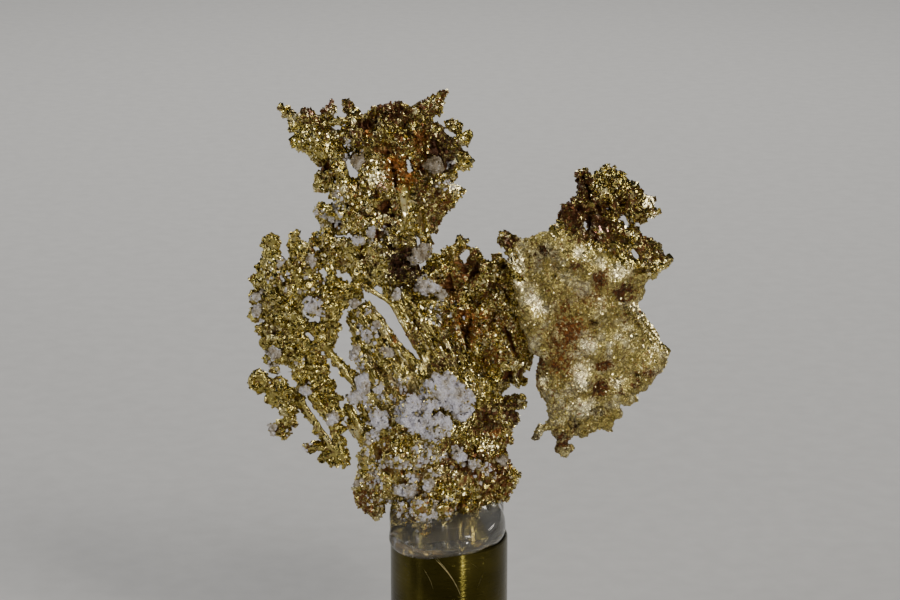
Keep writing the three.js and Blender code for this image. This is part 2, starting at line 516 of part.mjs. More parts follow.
function postGeometry() {
  const radius = POST_DIAMETER / 2;
  const profile = [
    new THREE.Vector2(0, 0),
    new THREE.Vector2(radius - POST_FOOT_CHAMFER, 0),
    new THREE.Vector2(radius, POST_FOOT_CHAMFER),
  ];
  for (let i = 0; i <= POST_ROUND_STEPS; i++) {
    const turn = ((Math.PI / 2) * i) / POST_ROUND_STEPS;
    profile.push(
      new THREE.Vector2(
        radius - POST_TOP_ROUND * (1 - Math.cos(turn)),
        POST_HEIGHT - POST_TOP_ROUND * (1 - Math.sin(turn)),
      ),
    );
  }
  profile.push(new THREE.Vector2(0, POST_HEIGHT));
  return new THREE.LatheGeometry(profile, POST_SIDES).rotateX(Math.PI / 2);
}

// ---- Materials -----------------------------------------------------------------------------------

const gold = new THREE.MeshStandardMaterial({ color: 0xd9b45a, roughness: 0.28, metalness: 1 });
const whiteQuartz = new THREE.MeshStandardMaterial({ color: 0xd8d2d4, roughness: 0.75, metalness: 0 });
const clearPutty = new THREE.MeshStandardMaterial({
  color: 0xe6e4dc,
  roughness: 0.12,
  metalness: 0,
  transparent: true,
  opacity: 0.35,
});
const brass = new THREE.MeshStandardMaterial({ color: 0xb89a48, roughness: 0.2, metalness: 1 });

// ---- Assembly ------------------------------------------------------------------------------------

function named(name, geometry, material) {
  const mesh = new THREE.Mesh(geometry, material.clone());
  mesh.name = name;
  return mesh;
}

const post = named("brass_post", postGeometry(), brass);

const specimen = new THREE.Group();
specimen.position.z = POST_HEIGHT;

const goldGeometry = {};
for (const [key, leaf] of Object.entries(leaves)) {
  goldGeometry[key] = leafGeometry(leaf);
  specimen.add(named(leaf.name, goldGeometry[key], gold));
}

const quartzGeometry = {};
for (const { name, host, grains } of quartz) {
  const { front } = facesOf(leaves[host]);
  quartzGeometry[name] = geometryOf(joined(grains.map((grain) => grainSolid(grain, front))));
  specimen.add(named(name, quartzGeometry[name], whiteQuartz));
}

// The putty wraps the trunk's foot and the quartz there, and sits on the post.
const puttySpace = [goldGeometry.trunk, quartzGeometry.quartz_foot].map(keepOut);
const putty = solidOf(puttyGeometry()).subtract(joined([postSpace(), ...puttySpace]));
specimen.add(named("clear_putty", geometryOf(putty), clearPutty));

const model = new THREE.Group();
model.add(post, specimen);

export default model;
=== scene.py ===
import math
from dataclasses import dataclass, field

import bpy
import numpy as np
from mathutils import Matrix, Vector
from mathutils.bvhtree import BVHTree
from mathutils.kdtree import KDTree


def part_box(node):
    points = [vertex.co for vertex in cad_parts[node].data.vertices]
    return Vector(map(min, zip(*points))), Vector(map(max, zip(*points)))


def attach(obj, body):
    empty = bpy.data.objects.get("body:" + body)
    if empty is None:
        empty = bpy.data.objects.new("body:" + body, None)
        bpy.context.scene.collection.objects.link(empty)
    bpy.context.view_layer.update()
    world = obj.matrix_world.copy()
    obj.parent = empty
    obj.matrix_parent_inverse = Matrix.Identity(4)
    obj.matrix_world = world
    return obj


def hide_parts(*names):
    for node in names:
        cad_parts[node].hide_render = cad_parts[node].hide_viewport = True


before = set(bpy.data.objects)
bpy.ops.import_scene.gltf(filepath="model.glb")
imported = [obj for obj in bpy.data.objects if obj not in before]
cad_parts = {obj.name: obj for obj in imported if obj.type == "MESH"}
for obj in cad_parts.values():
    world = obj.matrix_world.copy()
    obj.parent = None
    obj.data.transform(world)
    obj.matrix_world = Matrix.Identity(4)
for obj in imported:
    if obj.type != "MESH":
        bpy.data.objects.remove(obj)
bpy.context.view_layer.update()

# A spray of spongy leaf gold with sugary quartz, stuck in clear putty on a brass post. Lengths are in
# millimetres above the post's top, and each finished mesh is moved to metres in the row frame.

MM = 0.001
_, POST_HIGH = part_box("brass_post")
POST_TOP = POST_HIGH.z / MM
POST_RADIUS = POST_HIGH.x / MM

LEAN = 0.26  # the leaves' edges drop this much for each millimetre towards the back
PITCH = 0.17  # spacing of the points that a leaf of gold is built on
MARGIN = 1.0  # room that the growth has outside its CAD solid
EDGE_ROUND = 0.7  # rounding of a leaf's rim
JOIN_REACH = 0.6  # how far a leaf spreads over the hairline to its neighbour
RAY_START = 20.0  # rays start this far in front of the specimen and behind it
SOFTENINGS = 9  # how many times a leaf's faces are averaged, which rounds the CAD solid's flats

rng = np.random.default_rng(1849)


# ---- Patterns in space ----


def lattice(cells, seed):
    """A number from 0 to 1 for each whole-number cell, always the same for the same seed."""
    key = cells[..., 0] * 73856093 + cells[..., 1] * 19349663 + cells[..., 2] * 83492791 + seed * 2654435761
    key = (key ^ (key >> 13)) & 0xFFFFFFFF
    key = (key * 1274126177) & 0xFFFFFFFF
    key ^= key >> 16
    key = (key * 2246822519) & 0xFFFFFFFF
    return ((key ^ (key >> 15)) & 0xFFFFFF) / float(0xFFFFFF)


def swell(points, size, seed):
    """Soft random hills, from -1 to 1, about this many millimetres across."""
    at = points / size
    cell = np.floor(at).astype(np.int64)
    part = at - cell
    part = part * part * (3 - 2 * part)
    total = np.zeros(points.shape[:-1])
    for corner in np.ndindex(2, 2, 2):
        share = np.prod(np.where(corner, part, 1 - part), axis=-1)
        total += share * lattice(cell + np.array(corner), seed)
    return 2 * total - 1


def beads(points, size, seed):
    """Packed round grains of this size: 1 in a grain's middle, falling to about -1 between grains."""
    at = points / size
    base = np.floor(at - 0.5).astype(np.int64)
    nearest = np.full(points.shape[:-1], 9.0)
    for corner in np.ndindex(2, 2, 2):
        cell = base + np.array(corner)
        centre = cell + np.stack([lattice(cell, seed + k) for k in range(3)], axis=-1) * 0.6 + 0.2
        nearest = np.minimum(nearest, np.sum((at - centre) ** 2, axis=-1))
    return 1 - 2.6 * np.sqrt(nearest)


def patches(x, height, spots):
    """How much soft oval spots cover a place. A spot is x, height, half width, half height, strength."""
    total = np.zeros(np.shape(x))
    for spot_x, spot_height, wide, high, strength in spots:
        away = ((x - spot_x) / wide) ** 2 + ((height - spot_height) / high) ** 2
        total = np.maximum(total, strength * np.exp(-(away**1.5)))
    return total


def step_up(value, low, high):
    """0 below low, 1 above high, and smooth between."""
    t = np.clip((value - low) / (high - low), 0, 1)
    return t * t * (3 - 2 * t)


def seen_at(points):
    """Where points lie on the leaves' own grid: x, and height along their lean."""
    return points[:, 0], points[:, 2] + LEAN * points[:, 1]


def sown(weight, per_mm2):
    """Random picks of a surface's faces, by a weight in square millimetres for each face."""
    return rng.choice(len(weight), rng.poisson(weight.sum() * per_mm2), p=weight / weight.sum())


# ---- Meshes from arrays ----


@dataclass
class Shell:
    """Points and faces with a number of named values on each point."""

    points: np.ndarray
    faces: list = field(default_factory=list)  # arrays of faces, one array for each number of corners
    values: dict = field(default_factory=dict)


def together(shells):
    """Shells with the same named values, joined in one."""
    names = shells[0].values
    start = 0
    faces = []
    for shell in shells:
        faces += [group + start for group in shell.faces]
        start += len(shell.points)
    return Shell(
        np.concatenate([shell.points for shell in shells]),
        faces,
        {name: np.concatenate([shell.values[name] for shell in shells]) for name in names},
    )


def mesh_piece(name, shell, material, smooth_faces=0):
    """A Blender object from a shell in millimetres above the post's top. Its first faces can be smooth."""
    mesh = bpy.data.meshes.new(name)
    points = (shell.points + np.array([0, 0, POST_TOP])) * MM
    sizes = np.concatenate([np.full(len(group), group.shape[1]) for group in shell.faces])
    corners = np.concatenate([group.ravel() for group in shell.faces])
    mesh.vertices.add(len(points))
    mesh.vertices.foreach_set("co", points.astype(np.float32).ravel())
    mesh.loops.add(len(corners))
    mesh.loops.foreach_set("vertex_index", corners.astype(np.int32))
    mesh.polygons.add(len(sizes))
    mesh.polygons.foreach_set("loop_start", np.concatenate([[0], np.cumsum(sizes)[:-1]]).astype(np.int32))
    mesh.polygons.foreach_set("use_smooth", np.arange(len(sizes)) < smooth_faces)
    mesh.update(calc_edges=True)
    for value_name, values in shell.values.items():
        layer = mesh.attributes.new(value_name, "FLOAT", "POINT")
        layer.data.foreach_set("value", values.astype(np.float32))
    mesh.materials.append(material)
    piece = bpy.data.objects.new(name, mesh)
    bpy.context.scene.collection.objects.link(piece)
    return piece


def sealed(volume):
    """A volume of numbers whose outer layer lies outside the solid, so that its skin is closed."""
    volume[[0, -1]] = volume[:, [0, -1]] = volume[:, :, [0, -1]] = -1
    return volume


AXES = np.eye(3, dtype=int)


def skin(volume, origin, pitch):
    """The closed surface where a volume of numbers passes through zero, as points and quads."""
    inside = volume > 0
    count = np.zeros(np.array(volume.shape) - 1, np.int8)
    for x, y, z in np.ndindex(2, 2, 2):
        count += inside[x : x + count.shape[0], y : y + count.shape[1], z : z + count.shape[2]]
    crossed = (count > 0) & (count < 8)
    cells = np.argwhere(crossed)
    index = np.full(count.shape, -1)
    index[crossed] = np.arange(len(cells))
    total = np.zeros((len(cells), 3))
    number = np.zeros(len(cells))
    for start in np.ndindex(2, 2, 2):
        for axis in range(3):
            if start[axis]:
                continue
            step = AXES[axis]
            a = volume[tuple((cells + start).T)]
            b = volume[tuple((cells + start + step).T)]
            cuts = (a > 0) != (b > 0)
            share = np.where(cuts, a / np.where(a == b, 1, a - b), 0)
            total += np.where(cuts[:, None], np.array(start) + share[:, None] * step, 0)
            number += cuts
    points = (cells + total / number[:, None]) * pitch + origin
    quads = []
    for axis in range(3):
        low, high = [slice(1, -1)] * 3, [slice(1, -1)] * 3
        low[axis], high[axis] = slice(0, -1), slice(1, None)
        before, after = inside[tuple(low)], inside[tuple(high)]
        across, along = AXES[(axis + 1) % 3], AXES[(axis + 2) % 3]
        for leaving in (True, False):
            edge = np.argwhere((before != after) & (before == leaving)) + 1
            edge[:, axis] -= 1
            ring = [edge - across - along, edge - along, edge, edge - across]
            quad = np.stack([index[tuple(place.T)] for place in ring], axis=1)
            quads.append(quad if leaving else quad[:, ::-1])
    return points, np.concatenate(quads)


def face_frames(points, faces):
    """Each face's middle, outward direction and area."""
    a, b, c, d = (points[faces[:, k]] for k in range(4))
    across = np.cross(c - a, d - b)
    size = np.linalg.norm(across, axis=1)
    return (a + b + c + d) / 4, across / np.maximum(size, 1e-9)[:, None], size / 2


# ---- The leaves' solid form ----


def cad_corners(solid):
    """The corners of a CAD solid, in millimetres above the post's top."""
    return np.array([v.co for v in solid.vertices]) / MM - np.array([0, 0, POST_TOP])


def nearest_of(places):
    """A tree that finds the nearest of some places on a grid."""
    tree = KDTree(len(places))
    for i, (x, height) in enumerate(places):
        tree.insert((x, height, 0), i)
    tree.balance()
    return tree


def neighbours(grid, mode):
    """The four grids of what lies beside each place."""
    padded = np.pad(grid, 1, mode=mode)
    return padded[:-2, 1:-1], padded[2:, 1:-1], padded[1:-1, :-2], padded[1:-1, 2:]


def softened(grid):
    """A grid averaged with its neighbours over and over."""
    for _ in range(SOFTENINGS):
        grid = (sum(neighbours(grid, "edge")) + 2 * grid) / 6
    return grid


@dataclass
class Leaf:
    """A leaf's CAD solid seen along its lean, as a grid of columns."""

    x: np.ndarray
    height: np.ndarray
    front: np.ndarray  # the y of each column's front end
    back: np.ndarray
    inset: np.ndarray  # how far each column stands inside the rim


def read_leaf(name):
    """A leaf's columns, measured by rays from the front and from behind."""
    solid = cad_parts[name].data
    corners = cad_corners(solid)
    tree = BVHTree.FromPolygons(corners.tolist(), [list(p.vertices) for p in solid.polygons])
    x, height = (np.arange(seen.min() - MARGIN, seen.max() + MARGIN, PITCH) for seen in seen_at(corners))
    front = np.full((len(x), len(height)), np.nan)
    back = front.copy()
    ahead = Vector((0, 1, -LEAN)).normalized()
    for i, place in enumerate(x):
        for j, level in enumerate(height):
            near = tree.ray_cast(Vector((place, -RAY_START, level + LEAN * RAY_START)), ahead)[0]
            far = tree.ray_cast(Vector((place, RAY_START, level - LEAN * RAY_START)), -ahead)[0]
            if near is not None and far is not None:
                front[i, j] = near.y
                back[i, j] = far.y
    filled = ~np.isnan(front)
    beside = neighbours(filled, "constant")
    rim = np.argwhere(filled & ~np.all(beside, axis=0))
    rim_tree = nearest_of(rim)
    shore_tree = nearest_of(np.argwhere(~filled & np.any(beside, axis=0)))
    inset = np.zeros(front.shape)
    for i, j in np.ndindex(front.shape):
        if filled[i, j]:
            inset[i, j] = (shore_tree.find((i, j, 0))[2] - 0.5) * PITCH
        else:
            _, place, steps = rim_tree.find((i, j, 0))
            inset[i, j] = -(steps - 0.5) * PITCH
            front[i, j] = front[tuple(rim[place])]
            back[i, j] = back[tuple(rim[place])]
    return Leaf(x, height, softened(front), softened(back), inset)


def stroke_distance(x, height, stroke):
    """How far places lie from a tapered stroke's middle line, and the stroke's half width beside them."""
    x0, h0, wide0, x1, h1, wide1 = stroke
    along_x, along_h = x1 - x0, h1 - h0
    share = ((x - x0) * along_x + (height - h0) * along_h) / (along_x**2 + along_h**2)
    share = np.clip(share, 0, 1)
    away = np.hypot(x - x0 - share * along_x, height - h0 - share * along_h)
    return away, wide0 + (wide1 - wide0) * share


def swathe(x, height, stroke):
    """1 along a stroke, fading away over its half width."""
    away, wide = stroke_distance(x, height, stroke)
    return np.exp(-((away / wide) ** 2))


FACET_SLOPE = (0.282, 0.511)  # how fast a facet goes back along x and height, to face the key light


def bent_leaf(leaf, growth, x, height, ragged):
    """The leaf's inset, front and back with its joins, slits, folds and facets."""
    inset, front, back = leaf.inset.copy(), leaf.front.copy(), leaf.back.copy()
    for join in growth.joins:
        inset += JOIN_REACH * swathe(x, height, join)
    for slit in growth.slits:
        away, wide = stroke_distance(x, height, slit)
        inset = np.minimum(inset, away - wide + ragged)
    for *stroke, rise in growth.folds:
        lift = rise * swathe(x, height, stroke)
        front -= lift
        back -= lift
    for facet in growth.facets:
        here = patches(x, height, [facet])
        level = (front * here).sum() / here.sum()
        plane = level + FACET_SLOPE[0] * (x - facet[0]) + FACET_SLOPE[1] * (height - facet[1])
        bend = here * (plane - front)
        front += bend
        back += bend
    return inset, front, back


TERRACE = 0.9  # width of the steps where the metal flashes
TERRACE_WAY = np.array([0.48, 0.0, 0.875])  # across the steps, as x, y, height
TERRACE_SLOPE = 0.58


def terraces(places):
    """Small steps whose treads all face the same way, up and to the right."""
    along = (places @ TERRACE_WAY + 0.3 * swell(places, 1.3, 95)) / TERRACE
    return TERRACE * TERRACE_SLOPE * (0.5 - along % 1)


def lumps_and_hollows(places, growth, rim):
    """How far the metal stands proud of its solid. It is calmer near a rim, and where it flashes."""
    x, height = places[:, 0], places[:, 2]
    sunny, satin = glow_at(x, height), growth.satin(x, height)
    hollows = growth.broad * swell(places, 2.1, growth.seed + 16) * (1 - 0.8 * sunny * satin)
    lumps = (1 - (0.6 + 0.22 * satin) * sunny) * growth.relief(places, growth.seed)
    lumps += sunny * (1 - satin) * terraces(places)
    return (0.55 + 0.45 * rim) * lumps + (0.2 + 0.8 * rim) * hollows


def button(leaf, front, x, height, y, where):
    """A round button with a raised rim, as the volume of its drum and of the hollow in its face."""
    middle_x, middle_height, radius, sunk = where
    away = np.hypot(x - middle_x, height - middle_height)[:, :, None]
    i = int(np.clip((middle_x - leaf.x[0]) / PITCH, 0, len(leaf.x) - 1))
    j = int(np.clip((middle_height - leaf.height[0]) / PITCH, 0, len(leaf.height) - 1))
    level = front[i, j] + sunk
    drum = 0.5 * radius - np.hypot(np.maximum(0, away - 0.6 * radius), y - level)
    dish = np.hypot(away, y - level + 0.75 * radius) - 0.62 * radius
    return drum, dish


LUMP_REACH = 1.9  # lumps change the metal this near to its plain skin
SHORE = 1.4  # and this far outside the rim
CALM_RIM = 1.2  # they are lower within this distance of the rim


def sponge(leaf, growth):
    """The leaf as spongy metal: its lumps and pits on its solid, and its slits, rods and buttons."""
    x, height = np.meshgrid(leaf.x, leaf.height, indexing="ij")
    ragged = 0.16 * swell(np.stack([x, 0 * x, height], axis=-1), 0.6, 97)
    inset, front, back = bent_leaf(leaf, growth, x, height, ragged)
    y = np.arange(front.min() - MARGIN, back.max() + MARGIN, PITCH)
    middle = ((front + back) / 2)[:, :, None]
    half = ((back - front) / 2)[:, :, None]
    side = half - np.abs(y - middle)
    edge = np.minimum(EDGE_ROUND, half)
    deep = np.minimum(inset[:, :, None], side)
    body = edge - np.hypot(np.maximum(0, edge - inset[:, :, None]), np.maximum(0, edge - side))
    body += np.maximum(0, deep - edge)
    near = np.argwhere((np.abs(body) < LUMP_REACH) & (inset > -SHORE)[:, :, None])
    places = np.stack([leaf.x[near[:, 0]], y[near[:, 2]], leaf.height[near[:, 1]]], axis=1)
    rim = np.clip(inset[near[:, 0], near[:, 1]], 0, CALM_RIM) / CALM_RIM
    volume = body.copy()
    volume[tuple(near.T)] += lumps_and_hollows(places, growth, rim)
    for groove in growth.grooves:
        away, wide = stroke_distance(x, height, groove)
        dug = np.hypot(away[:, :, None], 0.45 * (y - front[:, :, None])) - wide[:, :, None]
        volume = np.minimum(volume, dug)
    for slit in growth.slits:
        away, wide = stroke_distance(x, height, slit)
        volume = np.minimum(volume, (away - 0.9 * wide + ragged)[:, :, None])
    for *stroke, sunk in growth.rods + growth.bars:
        away, wide = stroke_distance(x, height, stroke)
        level = front + sunk
        bumps = 0.3 * swell(np.stack([x, level, height], axis=-1), 0.55, growth.seed + 5)
        rod = (wide * (1 + bumps))[:, :, None] - np.hypot(away[:, :, None], y - level[:, :, None])
        volume = np.maximum(volume, rod)
        body = np.maximum(body, rod)
    for where in growth.buttons:
        drum, dish = button(leaf, front, x, height, y, where)
        volume = np.maximum(volume, np.minimum(drum, dish))
        body = np.maximum(body, drum)
    points, quads = skin(largest_part(sealed(volume), body), np.zeros(3), 1.0)
    cells = np.clip(np.rint(points).astype(int), 0, np.array(volume.shape) - 1)
    depth = body[tuple(cells.T)]
    grown = points * PITCH + np.array([leaf.x[0], leaf.height[0], y[0]])
    solid = np.stack([grown[:, 0], grown[:, 2], grown[:, 1] - LEAN * grown[:, 2]], axis=1)
    return solid, quads[:, ::-1], depth


CORE_DEPTH = 0.45  # metal this deep in its solid belongs to the leaf's core
OUTSIDE = -0.2  # what a crumb's numbers become


def largest_part(volume, body):
    """The volume without crumbs that nothing joins to the leaf's core."""
    inside = volume > 0
    joined = inside & (body > CORE_DEPTH)
    while True:
        grown = joined.copy()
        for axis, way in ((0, 1), (0, -1), (1, 1), (1, -1), (2, 1), (2, -1)):
            grown |= np.roll(joined, way, axis=axis)
        grown &= inside
        if grown.sum() == joined.sum():
            return np.where(inside & ~joined, OUTSIDE, volume)
        joined = grown


# ---- Crystals ----


def turned(out, spin):
    """Rotation matrices whose z axes point out, each spun about it."""
    helper = np.where(np.abs(out[:, 2:3]) < 0.9, [[0.0, 0.0, 1.0]], [[1.0, 0.0, 0.0]])
    across = np.cross(helper, out)
    across /= np.linalg.norm(across, axis=1)[:, None]
    upward = np.cross(out, across)
    cos, sin = np.cos(spin)[:, None], np.sin(spin)[:, None]
    return np.stack([cos * across + sin * upward, cos * upward - sin * across, out], axis=2)


def unit(vectors):
    """Vectors of length 1."""
    return vectors / np.maximum(np.linalg.norm(vectors, axis=-1, keepdims=True), 1e-9)


def ring_points(sides, radius, level, turn=0.0):
    """Points round the z axis. A turn of 1 brings each point to the next one's place."""
    angles = 2 * math.pi * (np.arange(sides) + turn) / sides
    return np.stack([radius * np.cos(angles), radius * np.sin(angles), np.full(sides, level)], axis=1)


# An octahedron that lies on one of its faces. Gold and its flat and stretched twins all have this form.
OCTAHEDRON = np.concatenate([ring_points(3, 1.0, 0.7), ring_points(3, 1.0, -0.7, 0.5)])
OCTAHEDRON_FACES = np.array(
    [(0, 1, 2), (5, 4, 3), (0, 3, 1), (1, 3, 4), (1, 4, 2), (2, 4, 5), (2, 5, 0), (0, 5, 3)]
)


def octahedra(centres, axes, spins, sizes, values):
    """A crystal for each row of centre, outward axis, spin and half sizes, joined in one shell."""
    turns = turned(axes, spins)
    placed = np.einsum("nij,nkj->nki", turns, OCTAHEDRON[None] * sizes[:, None]) + centres[:, None]
    corners = len(OCTAHEDRON)
    shift = corners * np.arange(len(centres))[:, None, None]
    faces = (OCTAHEDRON_FACES[None] + shift).reshape(-1, 3)
    repeated = {name: np.repeat(value, corners) for name, value in values.items()}
    return Shell(placed.reshape(-1, 3), [faces], repeated)


@dataclass
class Habit:
    """A kind of crystal that grows on a leaf: how densely, how big and which way."""

    per_mm2: float
    size: tuple  # the least and the greatest half width
    shape: tuple = (1.0, 1.0, 1.0)
    along: tuple = None  # the direction that its long axis keeps near, or else each patch has its own
    scatter: float = 0.3  # how far single crystals stray from it
    where: object = None  # share of the full density at each x, height


BACK_SHARE = 0.55  # how thickly crystals grow on a leaf's back, against its front
PATCH = 1.7  # width of the patches in which crystals share a direction
SUNWARD = np.array([0.27, -0.83, 0.49])  # the way that the flats of the brightest patches face
LIT_SCATTER = 0.08  # how much those flats differ
LIT_SIZE = 0.17  # the most that their size can be
LIT_SHAPE = np.array([0.75, 1.2, 0.35])  # their width, height and thickness, as shares of their size
PIT_BARE = 0.75  # share of the crystals that a pit does without


def pit(depth):
    """0 on a leaf's humps and 1 in its pits."""
    return step_up(depth, 0.1, 0.5)


DIRT_AND_SHADE_DEPTH = 0.9  # places this far inside the plain solid get the most dirt and painted shade


# Dark dirt in the pits, which also stands in for their shade: painted shade, deepest at the bottom of a
# pit.
def pit_dirt_and_painted_shade(depth):
    return np.clip(depth / DIRT_AND_SHADE_DEPTH, 0, 1)


def clear_of_features(centres, growth):
    """False for most crystals that would fill a slit or roughen a smooth bar or button."""
    x, height = seen_at(centres)
    smooth = np.zeros(len(centres))
    for slit in growth.slits:
        away, wide = stroke_distance(x, height, slit)
        smooth = np.maximum(smooth, away < wide + 0.12)
    for *stroke, _ in growth.bars:
        away, wide = stroke_distance(x, height, stroke)
        smooth = np.maximum(smooth, 0.85 * (away < wide))
    for button_x, button_height, radius, _ in growth.buttons:
        smooth = np.maximum(smooth, 0.6 * (np.hypot(x - button_x, height - button_height) < radius))
    return rng.uniform(0, 1, len(centres)) > smooth


def grow_crystals(habit, surface, growth):
    """Crystals of one habit, sown over a leaf's surface and thinly in its pits."""
    middles, outward, areas, depth = surface
    x, height = seen_at(middles)
    glow, satin = glow_at(x, height), growth.satin(x, height)
    weight = areas * np.where(outward[:, 1] < 0.2, 1.0, BACK_SHARE)
    weight = weight * (1 + glow * (1.2 - 1.8 * satin)) * (1 - PIT_BARE * pit(depth))
    if habit.where:
        weight = weight * habit.where(x, height)
    chosen = sown(weight, habit.per_mm2)
    chosen = chosen[clear_of_features(middles[chosen], growth)]
    count = len(chosen)
    centres, glow, satin = middles[chosen], glow[chosen], satin[chosen]
    cell = np.floor((centres + 0.4 * rng.normal(0, 1, centres.shape)) / PATCH).astype(np.int64)
    seed = growth.seed + 40
    if habit.along is None:
        way = np.stack([lattice(cell, seed + k) for k in range(3)], axis=1) - 0.5 + 0.9 * outward[chosen]
    else:
        way = np.array([habit.along] * count, float)
    way = unit(way)
    axes = unit(way + habit.scatter * rng.normal(0, 1, (count, 3)))
    lit = glow * (1 - 0.3 * satin) > rng.uniform(0, 1, count)
    axes[lit] = unit(SUNWARD + LIT_SCATTER * rng.normal(0, 1, (lit.sum(), 3)))
    spins = 2 * math.pi * lattice(cell, seed + 7) + 0.3 * rng.normal(0, 1, count)
    spins[lit] = 0.5 * rng.normal(0, 1, lit.sum())
    grown = rng.uniform(habit.size[0] ** 0.5, habit.size[1] ** 0.5, count) ** 2
    sizes = grown[:, None] * np.array(habit.shape) * rng.uniform(0.8, 1.25, (count, 3))
    sizes[lit] = np.minimum(sizes[lit], LIT_SIZE) * LIT_SHAPE * (1 + 0.8 * glow[lit, None] ** 3)
    centres = centres + outward[chosen] * ((0.2 + 0.6 * lit) * sizes.min(axis=1))[:, None]
    iron, shade = rust_at(centres)
    # Crystals turned to the key light get a pale tint, less rust and no pit dirt: a painted highlight.
    values = {
        "iron": iron * rng.uniform(0.45, 1.3, count) * (1 - 0.6 * lit),
        "shade": shade,
        "hollow": pit_dirt_and_painted_shade(depth[chosen]) * (1 - lit),
        "tint": np.where(lit, 0.8 - 0.15 * satin, rng.uniform(0, growth.pale, count)) + blush_at(centres),
        "satin": np.zeros(count),
        "soft": np.where(lit, rng.uniform(0.0, 0.9, count) + 0.6 * (1 - glow) * satin, 0.05 + 0.5 * satin),
        "grit": np.where(lit, 0.2, 0.45),
    }
    return octahedra(centres, axes, spins, sizes, values)


# ---- Materials ----


def linear(hex_colour):
    """An sRGB hex colour as linear red, green, blue and alpha."""
    channels = [int(hex_colour[k : k + 2], 16) / 255 for k in (1, 3, 5)]
    return (*[c / 12.92 if c <= 0.04045 else ((c + 0.055) / 1.055) ** 2.4 for c in channels], 1.0)


def per_mm(size):
    """The scale that makes a pattern's features this many millimetres across."""
    return 1 / (size * MM)


def named(sockets, name):
    """The socket with this number, this identifier or else this label."""
    if isinstance(name, int):
        return sockets[name]
    return next((socket for socket in sockets if socket.identifier == name), None) or sockets[name]


def add(material, kind, inputs=(), stops=(), out=0, **settings):
    """Adds a node with its settings and links, and gives its output. The stops are a colour ramp's."""
    tree = material.node_tree
    made = tree.nodes.new("ShaderNode" + kind)
    for number, (position, colour) in enumerate(stops):
        if number > 1:
            made.color_ramp.elements.new(position)
        made.color_ramp.elements[number].position = position
        made.color_ramp.elements[number].color = linear(colour)
    for name, value in settings.items():
        setattr(made, name, value)
    for name, value in dict(inputs).items():
        if isinstance(value, bpy.types.NodeSocket):
            tree.links.new(value, named(made.inputs, name))
        else:
            named(made.inputs, name).default_value = value
    return named(made.outputs, out) if made.outputs else None


def blank(name):
    """An empty material, with the place in the object's own frame that its patterns start from."""
    material = bpy.data.materials.new(name)
    material.use_nodes = True
    material.node_tree.nodes.clear()
    return material, add(material, "TexCoord", out="Object")


def finished(material, surface):
    add(material, "OutputMaterial", {"Surface": add(material, "BsdfPrincipled", surface)})
    return material


